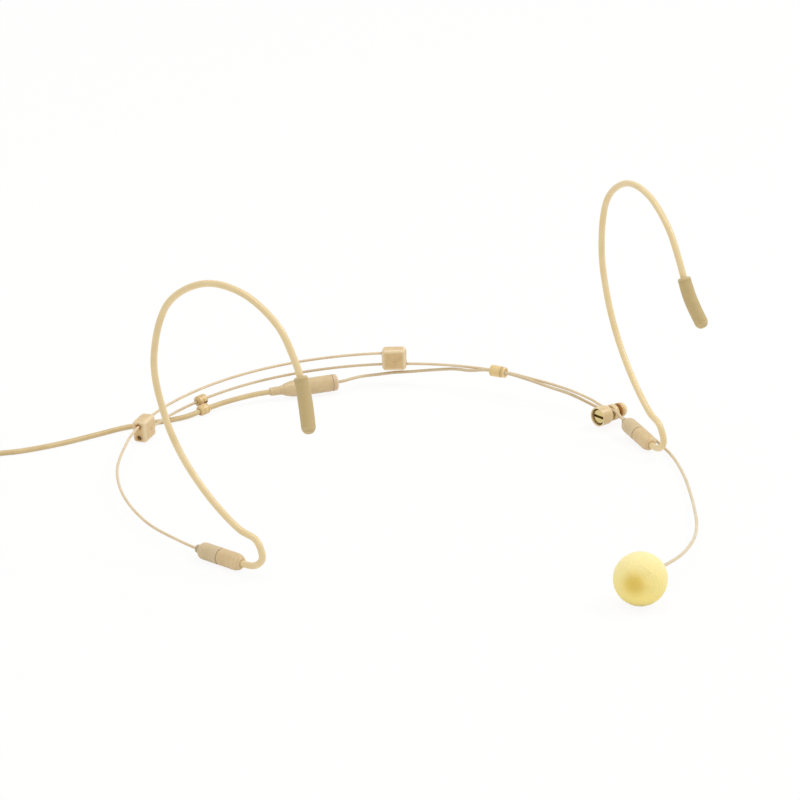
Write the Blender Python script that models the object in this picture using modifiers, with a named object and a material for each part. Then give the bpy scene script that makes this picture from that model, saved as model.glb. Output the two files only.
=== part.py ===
"""Headset microphone: two ear hooks on a telescopic neckband, with a boom microphone and its cable.

The headset lies on a table with its hooks up, as worn by someone who faces -Y, and the microphone
is on the wearer's left, at +X.  Sizes are in millimetres in a design frame whose X = 0 is the
wearer's middle and whose Z = 0 is the table.  The root empty moves that frame so that the middle
of the headset's footprint is the origin.
"""

import math

import bmesh
import bpy
import numpy as np
from mathutils import Matrix, Vector

MM = 0.001

RIGHT = 1
LEFT = -1

# Footprint middle in the design frame
ROOT_X = 1.4
ROOT_Y = 17.0

# Clearances between touching pieces, and the broken edge of small moulded and turned pieces
GAP = 0.3
WIRE_GAP = 0.25
EDGE = 0.25

# Ear hooks: mouth of the front ferrule, toe-in of the hook's plane, and the bent line of the hook
EAR_HALF_SPACING = 66.4
EAR_Y = 7.0
EAR_TOE_IN = math.radians(12.4)
FERRULE_PITCH = {RIGHT: math.radians(6.0), LEFT: 0.0}
HOOK_TUBE_DIA = 1.8
HOOK_TUBE_WALL = 0.25
HOOK_CORE_DIA = 0.7
HOOK_INSERT = 3.2
HOOK_CORE_EXTRA = 0.4
HOOK_LINE = (  # forward, outward, up, from the ferrule's mouth
    (0.0, 0.0, 0.0),
    (4.4, 0.0, 0.6),
    (6.9, 0.0, 3.2),
    (4.9, -0.2, 7.3),
    (-0.8, -0.1, 8.9),
    (-11.0, 0.0, 15.3),
    (-20.3, 0.0, 24.5),
    (-26.0, -0.2, 34.4),
    (-28.9, -0.5, 46.5),
    (-24.6, -1.3, 61.8),
    (-12.4, -1.8, 69.8),
    (0.7, -2.1, 69.8),
    (11.6, -2.2, 64.0),
    (16.8, -1.9, 57.1),
    (19.2, -1.6, 52.6),
    (21.2, -0.8, 47.8),
    (24.5, 1.5, 40.6),
)
TIP_DIA = 3.65
TIP_LENGTH = 14.0
TIP_END_WALL = 1.6
TIP_ROUND = 1.0

# Ferrules: a socket on the neckband wire and a swivel barrel that holds the hook
FERRULE_DIA = 4.4
BARREL_LENGTH = 7.0
BARREL_NOSE = 1.5
BARREL_LIP = 0.12
BARREL_MOUTH_DEPTH = 4.2
SOCKET_LENGTH = 6.8
SOCKET_CHAMFER = 0.5
NUB_DIA = 2.2
NUB_LENGTH = 1.0
SWIVEL_PIN_DIA = 1.5
SWIVEL_PIN_LENGTH = 4.2
WIRE_INSERT = 2.4
WIRE_STRAIGHT = {RIGHT: 1.0, LEFT: 1.5}

# Neckband: two spring wires on one tilted circle, one above the other, that slide in each other's block
BAND_WIRE_DIA = 0.75
BAND_RADIUS = 67.0
BAND_CENTRE_Y = 41.7
BAND_HEIGHT = 5.3
BAND_TILT = math.radians(3.2)
WIRE_SPACING = 3.3
BLOCK_LENGTH = 6.8
BLOCK_DEPTH = 4.1
BLOCK_HEIGHT = 6.2
BLOCK_ROUND = 1.1
BLOCK_DIMPLE_DIA = 1.1
BLOCK_DIMPLE_DEPTH = 0.25
LEFT_BLOCK_ANGLE = 121.5
RIGHT_BLOCK_ANGLE = 48.5
WIRE_END_RECESS = 0.35
# Where each wire runs from the circle to its ear: angle, share of the way out, and height
LEFT_RUN = (
    (135.0, -0.07, 4.7),
    (150.0, 0.13, 4.0),
    (165.0, 0.39, 3.3),
    (180.0, 0.74, 2.7),
    (190.0, 0.89, 2.4),
)
RIGHT_RUN = ((14.0, 0.09, 6.9), (8.0, 0.3, 6.6), (2.0, 0.52, 6.2), (-4.0, 0.75, 5.55))

# Cable clip on the lower wire, and the bead that ties the boom lead to it
CLIP_ANGLE = 99.7
CLIP_LENGTH = 3.5
CLIP_WIRE_LOBE_DIA = 2.7
CLIP_CABLE_LOBE_DIA = 2.6
CLIP_WEB = 1.2
CLIP_WEB_LENGTH = 1.4
CLIP_STAGGER = 1.0
BEAD_ANGLE = 22.0
BEAD_DIA = 3.2
BEAD_STEP_DIA = 2.8
BEAD_LENGTH = 4.6
BEAD_STEP = 1.3
BEAD_SPAN = 3.0

# In-line connector: a turned shell, its collar, nose and contact insert
CONNECTOR_ANGLE = 72.0
CONNECTOR_INSET = 6.1
CONNECTOR_HEIGHT = 2.8
CONNECTOR_RISE = math.radians(1.4)
CONNECTOR_LENGTH = 19.1
SHELL_DIA = 4.7
SHELL_BORE = 3.4
SHELL_TAPER = 4.7
SHELL_NECK_DIA = 2.9
SHELL_SHOULDER = 1.4
COLLAR_DIA = 2.4
COLLAR_LENGTH = 2.1
NOSE_DIA = 4.6
NOSE_LENGTH = 1.5
NOSE_ROUND = 0.6
INSERT_DIA = 2.8
INSERT_LENGTH = 7.5

# Boom clamp behind the right ferrule: barrel, ring and knob on one screw, with the wires between them
CLAMP_BACK = 23.0
CLAMP_INSET = 0.65
CLAMP_LIFT = 1.4
CLAMP_TURN = math.radians(4.0)
CLAMP_RISE = 0.0
CLAMP_BARREL_DIA = 5.3
CLAMP_BARREL_LENGTH = 3.9
CLAMP_RING_DIA = 4.5
CLAMP_RING_LENGTH = 1.4
CLAMP_KNOB_DIA = 4.1
CLAMP_KNOB_LENGTH = 2.5
CLAMP_KNOB_CROWN = 0.9
CLAMP_STRAIGHT = 2.6
CLAMP_SLOT_GAP = 0.2
SCREW_SHANK_DIA = 1.4
SCREW_HEAD_DIA = 4.0
SCREW_HEAD_LENGTH = 1.0
SCREW_HEAD_RECESS = 0.7
SCREW_SLOT_WIDTH = 0.6
SCREW_SLOT_DEPTH = 0.6

# Boom: a fixed lead from the connector to the clamp, and the arm that swings in the clamp
BOOM_DIA = 0.85
BOOM_LEAD_STRAIGHT = 1.5
BOOM_LEAD_LINE = (  # angle, inset, height
    (57.1, 2.6, 3.25),
    (52.1, 0.3, 3.1),
    (48.4, -0.5, 3.4),
    (44.9, -0.4, 3.8),
    (39.6, -0.3, 4.7),
)
# The lead's lean is its direction from the lower wire, above a line towards the neckband's centre
BOOM_LEAD_LEAN = math.radians(12.0)
BOOM_LEAD_WRAP = ((34.0, math.radians(-90.0)), (29.5, math.radians(-42.0)))
BOOM_LEAD_RUN_LEANS = (math.radians(2.0), math.radians(-35.0), math.radians(-80.0))
BOOM_BESIDE_EAR = (  # forward, outward, up, from the right ferrule's mouth
    (-18.6, 3.1, -0.2),
    (-14.1, 3.45, -0.3),
    (-6.5, 3.7, -0.6),
    (1.7, 3.35, -1.0),
    (9.8, 1.85, -1.0),
)
BOOM_LINE = (
    (60.1, -13.6, 1.3),
    (53.4, -23.6, 1.5),
    (46.3, -33.4, 1.9),
    (38.6, -43.1, 2.5),
    (29.6, -52.1, 3.4),
    (18.1, -60.3, 4.8),
)

# Microphone: a capsule and its grille inside a foam ball that rests on the table
BALL_DIA = 13.3
BALL_AT = (-1.9, -68.7)
MIC_HEADING = (-12.9, -4.8, 0.9)
CAPSULE_DIA = 3.8
CAPSULE_BACK = 3.2
CAPSULE_FRONT = 2.6
CAPSULE_SOCKET = 1.6
CAPSULE_TAPER = 0.6
GRILLE_LENGTH = 1.0
BALL_BORE_FRONT = 0.5
BALL_ENTRY = 1.0

# Cable and plug on the table
CABLE_DIA = 1.45
CABLE_BY_BAND = (  # angle, inset, height
    (85.0, 4.7, 2.45),
    (89.9, 3.86, 2.08),
    (94.3, 3.13, 1.7),
    (97.6, 2.76, 1.42),
    (101.2, 2.73, 1.34),
    (105.2, 2.12, 1.0),
    (109.3, 0.0, 0.86),
    (113.6, -3.8, 0.78),
    (118.2, -8.2, 0.78),
)
CABLE_LINE = (
    (-44.0, 108.1, 0.78),
    (-55.8, 108.4, 0.78),
    (-67.0, 110.2, 0.78),
    (-75.2, 113.0, 0.8),
)
COIL_AT = (-82.0, 123.9)
COIL_MIDDLE_DIA = 16.6
COIL_THICKNESS = 8.0
COIL_HEIGHT = 7.0
COIL_ROUND = 1.6
TAIL_LINE = ((-90.2, 133.6, 2.0), (-90.3, 136.0, 2.5), (-90.3, 138.8, 3.0), (-90.3, 141.0, 3.2))
PLUG_SHELL_DIA = 6.4
PLUG_SHELL_LENGTH = 15.0
PLUG_SHELL_TAPER = 1.1
PLUG_BOOT_DIA = 3.6
PLUG_BOOT_TIP_DIA = 2.4
PLUG_BOOT_LENGTH = 7.0
PLUG_BOOT_COLLAR = 1.5
PLUG_PIN_DIA = 3.5
PLUG_PIN_LENGTH = 14.0
PLUG_PIN_SEAT = 3.0
PLUG_TIP_LENGTH = 1.6
PLUG_NOTCH_AT = 3.2
PLUG_NOTCH_DEPTH = 0.45
PLUG_NOTCH_RISE = 0.7

# Facets of round pieces and points of bent lines
ROUND_STEPS = 14
BARREL_STEPS = 18
BALL_STEPS = 20
BALL_RINGS = 15
COIL_STEPS = 28
NOSE_RINGS = 5
BLOCK_SEGMENTS = 3
DIMPLE_RINGS = 10
CORE_BEVEL = 0
WIRE_BEVEL = 2
TIP_BEVEL = 3
TIP_STATIONS = 7
ARC_POINTS = 16
FINE_POINTS = 40
BEND_STEP = math.radians(13.0)
LONG_STEP = 5.0
SHORT_STEP = 0.2
OVERRUN = 1.0
MERGE = 0.001
PIVOT_SIZE = 5.0

UP = Vector((0.0, 0.0, 1.0))


def clear_scene():
    """Remove everything that the file opened with."""
    for obj in list(bpy.data.objects):
        bpy.data.objects.remove(obj, do_unlink=True)


def new_collection(name):
    """Add a collection to the scene.

    Args:
        name: the collection's name.

    Returns:
        The new collection.
    """
    collection = bpy.data.collections.new(name)
    bpy.context.scene.collection.children.link(collection)
    return collection


def linear(code):
    """Turn an sRGB hex code into linear RGB.

    Args:
        code: six hex digits.

    Returns:
        Three linear values and an alpha of one.
    """
    parts = [int(code[i : i + 2], 16) / 255.0 for i in (0, 2, 4)]
    return [p / 12.92 if p <= 0.04045 else ((p + 0.055) / 1.055) ** 2.4 for p in parts] + [1.0]


def finish(name, code, roughness, metallic=0.0):
    """Make a plain material.

    Args:
        name: the material's name.
        code: its colour, as sRGB hex digits.
        roughness: Principled roughness.
        metallic: Principled metallic value.

    Returns:
        The material.
    """
    material = bpy.data.materials.new(name)
    material.use_nodes = True
    shader = material.node_tree.nodes["Principled BSDF"]
    shader.inputs["Base Color"].default_value = linear(code)
    shader.inputs["Roughness"].default_value = roughness
    shader.inputs["Metallic"].default_value = metallic
    return material


def add_object(name, data, collection, material=None):
    """Link a new object that holds the given data.

    Args:
        name: the object's name.
        data: its mesh or curve.
        collection: where it goes.
        material: its finish, or None for a cutter.

    Returns:
        The object.
    """
    obj = bpy.data.objects.new(name, data)
    collection.objects.link(obj)
    if material:
        data.materials.append(material)
    return obj


def hide_cutter(obj):
    """Keep a cutting shape out of the finished object.

    Args:
        obj: the cutter.

    Returns:
        The same object.
    """
    obj.hide_render = True
    obj.display_type = "WIRE"
    return obj


def place(obj, at, along):
    """Stand an object's Z axis along a direction.

    Args:
        obj: the object.
        at: where its origin goes, in millimetres.
        along: the direction of its Z axis.

    Returns:
        The same object.
    """
    obj.location = Vector(at) * MM
    obj.rotation_euler = Vector(along).to_track_quat("Z", "Y").to_euler()
    return obj


def lathe(name, profile, material, collection, steps=ROUND_STEPS):
    """Turn a profile about Z.

    Args:
        name: the object's name.
        profile: (radius, height) pairs that run down the outer side; a ring's profile comes back up its bore.
        material: its finish.
        collection: where it goes.
        steps: facets round the axis.

    Returns:
        The turned object.
    """
    points = [(r * MM, 0.0, z * MM) for r, z in profile]
    edges = [(i, i + 1) for i in range(len(points) - 1)]
    if profile[0][0] > 0.0:
        edges.append((len(points) - 1, 0))
    mesh = bpy.data.meshes.new(name)
    mesh.from_pydata(points, edges, [])
    obj = add_object(name, mesh, collection, material)
    screw = obj.modifiers.new("turn", "SCREW")
    screw.steps = steps
    screw.render_steps = steps
    screw.use_merge_vertices = True
    screw.merge_threshold = MERGE * MM
    return obj


def shape_with(obj, tool, operation):
    """Join a tool's shape to an object, or take it out.

    Args:
        obj: the object to shape, which then carries the tool.
        tool: a closed object.
        operation: UNION or DIFFERENCE.
    """
    boolean = obj.modifiers.new(tool.name, "BOOLEAN")
    boolean.operation = operation
    boolean.solver = "EXACT"
    boolean.object = tool
    carry(obj, [tool])


def cut(obj, tool):
    """Take a tool's shape out of an object.

    Args:
        obj: the object to cut.
        tool: a closed object.
    """
    shape_with(obj, tool, "DIFFERENCE")


def rod_cutter(name, dia, length, matrix, collection):
    """Make a cylinder that drills along X.

    Args:
        name: the cutter's name.
        dia: drill diameter.
        length: drill length.
        matrix: its frame, in metres.
        collection: the cutters' collection.

    Returns:
        The cutter.
    """
    mesh = bpy.data.meshes.new(name)
    shape = bmesh.new()
    bmesh.ops.create_cone(
        shape,
        cap_ends=True,
        segments=ROUND_STEPS,
        radius1=dia / 2 * MM,
        radius2=dia / 2 * MM,
        depth=length * MM,
        matrix=Matrix.Rotation(math.pi / 2, 4, "Y"),
    )
    shape.to_mesh(mesh)
    shape.free()
    obj = hide_cutter(add_object(name, mesh, collection))
    obj.matrix_world = matrix
    return obj


def smooth(points):
    """Run a smooth curve through a route's points.

    Args:
        points: the route, in millimetres.

    Returns:
        Points along the curve, closer together where it bends.
    """
    knots = np.array([tuple(p) for p in points], dtype=float)
    spans = np.linalg.norm(np.diff(knots, axis=0), axis=1)
    at = np.concatenate([[0.0], np.cumsum(np.sqrt(spans))])
    slopes = np.gradient(knots, at, axis=0)
    fine = np.linspace(0.0, at[-1], FINE_POINTS * len(knots))
    k = np.clip(np.searchsorted(at, fine, side="right") - 1, 0, len(spans) - 1)
    width = (at[k + 1] - at[k])[:, None]
    t = (fine - at[k])[:, None] / width
    line = (
        (2 * t**3 - 3 * t**2 + 1) * knots[k]
        + (t**3 - 2 * t**2 + t) * width * slopes[k]
        + (3 * t**2 - 2 * t**3) * knots[k + 1]
        + (t**3 - t**2) * width * slopes[k + 1]
    )
    legs = np.diff(line, axis=0)
    lengths = np.linalg.norm(legs, axis=1)
    headings = legs / lengths[:, None]
    bends = np.arccos(np.clip((headings[1:] * headings[:-1]).sum(axis=1), -1.0, 1.0))
    work = lengths / LONG_STEP + np.concatenate([[0.0], bends]) / BEND_STEP
    done = np.concatenate([[0.0], np.cumsum(work)])
    marks = np.linspace(0.0, done[-1], math.ceil(done[-1]) + 1)
    return np.column_stack([np.interp(marks, done, line[:, i]) for i in range(3)])


def part_of(line, start, end):
    """Cut a stretch out of a line, by length from its end.

    Args:
        line: points in millimetres.
        start: where the stretch starts, as a length back from the line's last point.
        end: where it ends, as a length back from the last point.

    Returns:
        The stretch's points.
    """
    along = np.concatenate([[0.0], np.cumsum(np.linalg.norm(np.diff(line, axis=0), axis=1))])
    first = along[-1] - start
    last = along[-1] - end
    inner = along[(along > first + SHORT_STEP) & (along < last - SHORT_STEP)]
    marks = np.concatenate([[first], inner, [last]])
    return np.column_stack([np.interp(marks, along, line[:, i]) for i in range(3)])


def tube(name, line, dia, material, collection, bevel=WIRE_BEVEL, capped=True, sizes=None):
    """Run a round bar along a line.

    Args:
        name: the object's name.
        line: points in millimetres.
        dia: the bar's diameter.
        material: its finish.
        collection: where it goes.
        bevel: bevel resolution of its round section.
        capped: whether its ends are closed.
        sizes: a factor on the diameter at each point, or None.

    Returns:
        The curve object.
    """
    curve = bpy.data.curves.new(name, "CURVE")
    curve.dimensions = "3D"
    curve.bevel_depth = dia / 2 * MM
    curve.bevel_resolution = bevel
    curve.use_fill_caps = capped
    spline = curve.splines.new("POLY")
    spline.points.add(len(line) - 1)
    for i, point in enumerate(line):
        spline.points[i].co = (*(Vector(point) * MM), 1.0)
        spline.points[i].radius = 1.0 if sizes is None else sizes[i]
    spline.use_smooth = True
    return add_object(name, curve, collection, material)


def as_mesh(obj):
    """Turn a tube into a closed mesh that a cutter can cut.

    Args:
        obj: the curve object, which is removed.

    Returns:
        The mesh object, under the same name.
    """
    bpy.context.view_layer.update()
    evaluated = obj.evaluated_get(bpy.context.evaluated_depsgraph_get())
    mesh = bpy.data.meshes.new_from_object(evaluated)
    shape = bmesh.new()
    shape.from_mesh(mesh)
    bmesh.ops.remove_doubles(shape, verts=shape.verts, dist=MERGE * MM)
    bmesh.ops.recalc_face_normals(shape, faces=shape.faces)
    shape.to_mesh(mesh)
    shape.free()
    name = obj.name
    matrix = obj.matrix_world.copy()
    collection = obj.users_collection[0]
    bpy.data.objects.remove(obj, do_unlink=True)
    solid = add_object(name, mesh, collection)
    solid.matrix_world = matrix
    return solid


def pivot(name, at, along=UP):
    """Put an empty on a joint's axis.

    Args:
        name: the empty's name.
        at: a point on the axis, in millimetres.
        along: the axis.

    Returns:
        The empty.
    """
    obj = bpy.data.objects.new(name, None)
    obj.empty_display_size = PIVOT_SIZE * MM
    PARTS.objects.link(obj)
    return place(obj, at, along)


def carry(parent, children):
    """Parent objects without moving them.

    Args:
        parent: what carries them.
        children: the carried objects.
    """
    bpy.context.view_layer.update()
    for child in children:
        child.parent = parent
        child.matrix_parent_inverse = parent.matrix_world.inverted()


def ear_axes(side):
    """Give the directions of one ear hook's plane.

    Args:
        side: RIGHT or LEFT, as seen from the front.

    Returns:
        The forward and outward unit vectors.
    """
    forward = Vector((-side * math.sin(EAR_TOE_IN), -math.cos(EAR_TOE_IN), 0.0))
    outward = Vector((side * math.cos(EAR_TOE_IN), -math.sin(EAR_TOE_IN), 0.0))
    return forward, outward


def ear_point(side, forward, outward, up):
    """Find a point by one hook.

    Args:
        side: RIGHT or LEFT.
        forward: distance in front of the ferrule's mouth.
        outward: distance away from the head.
        up: height above the ferrule's mouth.

    Returns:
        The point in the design frame.
    """
    ahead, out = ear_axes(side)
    mouth = Vector((side * EAR_HALF_SPACING, EAR_Y, FERRULE_DIA / 2))
    return mouth + ahead * forward + out * outward + UP * up


def ferrule_axis(side):
    """Give the direction of one ferrule, from its wire to its mouth.

    Args:
        side: RIGHT or LEFT.

    Returns:
        The unit vector, which dips by the ferrule's pitch.
    """
    pitch = FERRULE_PITCH[side]
    return ear_axes(side)[0] * math.cos(pitch) - UP * math.sin(pitch)


def ferrule_point(side, back):
    """Find a point on one ferrule's axis.

    Args:
        side: RIGHT or LEFT.
        back: distance behind the ferrule's mouth.

    Returns:
        The point in the design frame.
    """
    return ear_point(side, 0.0, 0.0, 0.0) - ferrule_axis(side) * back


def band_axes(angle):
    """Give the frame of the neckband's circle at an angle.

    Args:
        angle: degrees from +X, seen from above.

    Returns:
        The tangent, outward and upward unit vectors.
    """
    turn = math.radians(angle)
    across = Vector((math.cos(BAND_TILT), 0.0, math.sin(BAND_TILT)))
    back = Vector((0.0, 1.0, 0.0))
    outward = across * math.cos(turn) + back * math.sin(turn)
    normal = across.cross(back)
    return outward.cross(normal), outward, normal


def band_point(angle, level=0.0, inset=0.0):
    """Find a point by the neckband's circle.

    Args:
        angle: degrees from +X.
        level: height above the circle's plane.
        inset: distance inside the circle.

    Returns:
        The point in the design frame.
    """
    outward, normal = band_axes(angle)[1:]
    centre = Vector((0.0, BAND_CENTRE_Y, BAND_HEIGHT))
    return centre + outward * (BAND_RADIUS - inset) + normal * level


def beside_band(angle, inset, height):
    """Find a point beside the neckband's circle, at a height above the table.

    Args:
        angle: degrees from +X.
        inset: distance inside the circle, seen from above.
        height: height above the table.

    Returns:
        The point in the design frame.
    """
    turn = math.radians(angle)
    reach = BAND_RADIUS - inset
    return Vector((reach * math.cos(turn), BAND_CENTRE_Y + reach * math.sin(turn), height))


def run_point(end, angle, share, height):
    """Find a point where a wire has left the neckband's circle for its end.

    Args:
        end: where the wire goes.
        angle: degrees from +X.
        share: share of the way from the circle out to the end's distance.
        height: height above the table.

    Returns:
        The point in the design frame.
    """
    away = math.hypot(end.x, end.y - BAND_CENTRE_Y) - BAND_RADIUS
    return beside_band(angle, -share * away, height)


def block_half_angle():
    """Give the angle at the neckband's centre of half a block's length."""
    return math.degrees(BLOCK_LENGTH / 2 / BAND_RADIUS)


def arc(start, end, level):
    """Follow the neckband's circle.

    Args:
        start: first angle in degrees.
        end: last angle in degrees.
        level: height above the circle's plane.

    Returns:
        Points on the arc.
    """
    return [band_point(angle, level) for angle in np.linspace(start, end, ARC_POINTS)]


def clamp_at():
    """Find the middle of the clamp's wire slot, behind the right ferrule."""
    return ear_point(RIGHT, -CLAMP_BACK, -CLAMP_INSET, CLAMP_LIFT)


def clamp_axes():
    """Give the directions of the boom clamp.

    Returns:
        The screw's axis and the direction above it, across the wires.
    """
    flat = Vector((math.cos(CLAMP_TURN), math.sin(CLAMP_TURN), 0.0))
    axis = flat * math.cos(CLAMP_RISE) + UP * math.sin(CLAMP_RISE)
    above = UP * math.cos(CLAMP_RISE) - flat * math.sin(CLAMP_RISE)
    return axis, above


def wire_slot():
    """Give the width of the clamp's slot for the neckband wire."""
    return BAND_WIRE_DIA + 2 * CLAMP_SLOT_GAP


def boom_slot():
    """Give the width of the clamp's slot for the boom."""
    return BOOM_DIA + 2 * CLAMP_SLOT_GAP


def boom_station():
    """Give the boom's place along the clamp's axis, from the wire's slot."""
    return wire_slot() / 2 + CLAMP_RING_LENGTH + boom_slot() / 2


def clamped_wire():
    """Find where the neckband wire crosses over the clamp screw."""
    above = clamp_axes()[1]
    return clamp_at() + above * (SCREW_SHANK_DIA / 2 + CLAMP_SLOT_GAP + BAND_WIRE_DIA / 2)


def clamped_boom():
    """Find where the boom crosses under the clamp screw."""
    axis, above = clamp_axes()
    drop = SCREW_SHANK_DIA / 2 + CLAMP_SLOT_GAP + BOOM_DIA / 2
    return clamp_at() + axis * boom_station() - above * drop


def barrel_chord():
    """Give half the length of the neckband wire that lies beside the clamp's barrel."""
    lift = SCREW_SHANK_DIA / 2 + CLAMP_SLOT_GAP + BAND_WIRE_DIA / 2
    return math.sqrt((CLAMP_BARREL_DIA / 2) ** 2 - lift**2)


def ferrule_length():
    """Give the length of a ferrule from its mouth to the end of its nub."""
    return BARREL_LENGTH + GAP + SOCKET_LENGTH + NUB_LENGTH


def wire_end(side):
    """Lead a neckband wire straight into its ferrule.

    Args:
        side: RIGHT or LEFT.

    Returns:
        The wire's last points.
    """
    nub = ferrule_length()
    return [ferrule_point(side, nub + away) for away in (WIRE_STRAIGHT[side], 0.0, -WIRE_INSERT)]


def make_hook(side, label):
    """Build one ear hook: its core wire, its vinyl tube and its rubber tip.

    Args:
        side: RIGHT or LEFT.
        label: the name's first word.

    Returns:
        The hook's pieces.
    """
    start = [ferrule_point(side, HOOK_INSERT + HOOK_CORE_EXTRA), ferrule_point(side, HOOK_INSERT / 2)]
    line = smooth(start + [ear_point(side, *point) for point in HOOK_LINE])
    whole = float(np.linalg.norm(np.diff(line, axis=0), axis=1).sum())
    hook_end = TIP_END_WALL + GAP
    core_line = part_of(line, whole, hook_end + GAP)
    core = tube(f"{label}_hook_core", core_line, HOOK_CORE_DIA, STEEL, PARTS, CORE_BEVEL)
    hook_line = part_of(line, whole - HOOK_CORE_EXTRA, hook_end)
    hook = tube(f"{label}_hook_tube", hook_line, HOOK_TUBE_DIA, HOOK_VINYL, PARTS, capped=False)
    wall = hook.modifiers.new("wall", "SOLIDIFY")
    wall.thickness = HOOK_TUBE_WALL * MM
    wall.offset = -1.0
    tip_line = part_of(line, TIP_LENGTH, 0.0)
    tip = as_mesh(rounded_bar(f"{label}_hook_tip", tip_line, TIP_DIA, TIP_ROUND))
    tip.data.materials.append(TIP_RUBBER)
    bore_line = part_of(line, TIP_LENGTH + OVERRUN, TIP_END_WALL)
    bore = tube(f"{label}_tip_bore", bore_line, HOOK_TUBE_DIA + 2 * GAP, None, CUTTERS)
    cut(tip, hide_cutter(as_mesh(bore)))
    return [hook, core, tip]


def make_ferrule(side, label):
    """Build one ferrule: the swivel barrel at the hook, the socket on the wire and the pin in both.

    Args:
        side: RIGHT or LEFT.
        label: the name's first word.

    Returns:
        The barrel, which swivels, and the pieces that stay on the wire.
    """
    ahead = ferrule_axis(side)
    radius = FERRULE_DIA / 2
    pin_bore = SWIVEL_PIN_DIA / 2 + GAP
    pin_depth = (SWIVEL_PIN_LENGTH - GAP) / 2 + GAP
    mouth = HOOK_TUBE_DIA / 2 + GAP
    mouth_floor = BARREL_LENGTH - BARREL_MOUTH_DEPTH
    nose_arc = math.acos(1 - (radius - mouth - BARREL_LIP) / BARREL_NOSE)
    nose = [
        (radius - BARREL_NOSE * (1 - math.cos(a)), BARREL_LENGTH - BARREL_NOSE * (1 - math.sin(a)))
        for a in np.linspace(nose_arc, 0.0, NOSE_RINGS)
    ]
    barrel = lathe(
        f"{label}_swivel_barrel",
        [(0.0, mouth_floor), (mouth, mouth_floor), (mouth, nose[0][1])]
        + nose
        + [(radius, 0.0), (pin_bore, 0.0), (pin_bore, pin_depth), (0.0, pin_depth)],
        FERRULE_PLASTIC,
        PARTS,
    )
    place(barrel, ferrule_point(side, BARREL_LENGTH), ahead)
    wire_bore = BAND_WIRE_DIA / 2 + WIRE_GAP
    nub_end = -SOCKET_LENGTH - NUB_LENGTH
    wire_floor = nub_end + WIRE_INSERT + GAP
    socket = lathe(
        f"{label}_wire_socket",
        [(0.0, -pin_depth), (pin_bore, -pin_depth), (pin_bore, 0.0), (radius, 0.0)]
        + [(radius, SOCKET_CHAMFER - SOCKET_LENGTH), (radius - SOCKET_CHAMFER, -SOCKET_LENGTH)]
        + [(NUB_DIA / 2, -SOCKET_LENGTH), (NUB_DIA / 2 - EDGE, nub_end)]
        + [(wire_bore, nub_end), (wire_bore, wire_floor), (0.0, wire_floor)],
        FERRULE_PLASTIC,
        PARTS,
    )
    place(socket, ferrule_point(side, BARREL_LENGTH + GAP), ahead)
    pin_radius = SWIVEL_PIN_DIA / 2
    half_pin = SWIVEL_PIN_LENGTH / 2
    pin = lathe(
        f"{label}_swivel_pin",
        [(0.0, half_pin), (pin_radius, half_pin), (pin_radius, -half_pin), (0.0, -half_pin)],
        STEEL,
        PARTS,
    )
    place(pin, ferrule_point(side, BARREL_LENGTH + GAP / 2), ahead)
    return barrel, [socket, pin]


def rounded_bar(name, line, dia, round_off):
    """Run a bar with rounded ends along a line.

    Args:
        name: the object's name.
        line: points in millimetres.
        dia: the bar's diameter.
        round_off: radius of its rounded ends.

    Returns:
        The curve object.
    """
    whole = float(np.linalg.norm(np.diff(line, axis=0), axis=1).sum())
    angles = np.radians((0.0, 30.0, 60.0, 90.0))
    back = round_off * (1 - np.sin(angles))
    size = 1 - round_off * (1 - np.cos(angles)) / (dia / 2)
    inner = np.linspace(round_off, whole - round_off, TIP_STATIONS)[1:-1]
    marks = np.concatenate([back[::-1], inner, whole - back])
    along = np.concatenate([[0.0], np.cumsum(np.linalg.norm(np.diff(line, axis=0), axis=1))])
    spots = np.column_stack([np.interp(marks, along, line[:, i]) for i in range(3)])
    sizes = np.concatenate([size[::-1], np.ones(len(inner)), size])
    return tube(name, spots, dia, None, PARTS, TIP_BEVEL, sizes=sizes)


def make_block(name, angle):
    """Build a slide block with its two wire holes and its dimple.

    Args:
        name: the block's name.
        angle: its place on the neckband, in degrees.

    Returns:
        The block.
    """
    tangent, outward, normal = band_axes(angle)
    frame = Matrix((tangent, outward, normal)).transposed().to_4x4()
    frame.translation = band_point(angle) * MM
    mesh = bpy.data.meshes.new(name)
    shape = bmesh.new()
    size = Matrix.Diagonal((BLOCK_LENGTH * MM, BLOCK_DEPTH * MM, BLOCK_HEIGHT * MM, 1.0))
    bmesh.ops.create_cube(shape, size=1.0, matrix=size)
    shape.to_mesh(mesh)
    shape.free()
    block = add_object(name, mesh, PARTS, BLOCK_PLASTIC)
    block.matrix_world = frame
    edge = block.modifiers.new("round", "BEVEL")
    edge.width = BLOCK_ROUND * MM
    edge.segments = BLOCK_SEGMENTS
    for sign, level in (("upper", WIRE_SPACING / 2), ("lower", -WIRE_SPACING / 2)):
        hole = frame @ Matrix.Translation((0.0, 0.0, level * MM))
        dia = BAND_WIRE_DIA + 2 * GAP
        cut(block, rod_cutter(f"{name}_{sign}_hole", dia, 2 * BLOCK_LENGTH, hole, CUTTERS))
    lift = math.sqrt((BLOCK_DIMPLE_DIA / 2) ** 2 + BLOCK_DIMPLE_DEPTH**2)
    ball_radius = lift**2 / (2 * BLOCK_DIMPLE_DEPTH)
    mesh = bpy.data.meshes.new(f"{name}_dimple")
    shape = bmesh.new()
    bmesh.ops.create_uvsphere(
        shape, u_segments=ROUND_STEPS, v_segments=DIMPLE_RINGS, radius=ball_radius * MM
    )
    shape.to_mesh(mesh)
    shape.free()
    dimple = hide_cutter(add_object(f"{name}_dimple", mesh, CUTTERS))
    depth = -BLOCK_DEPTH / 2 - ball_radius + BLOCK_DIMPLE_DEPTH
    dimple.matrix_world = frame @ Matrix.Translation((0.0, depth * MM, 0.0))
    cut(block, dimple)
    return block


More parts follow.
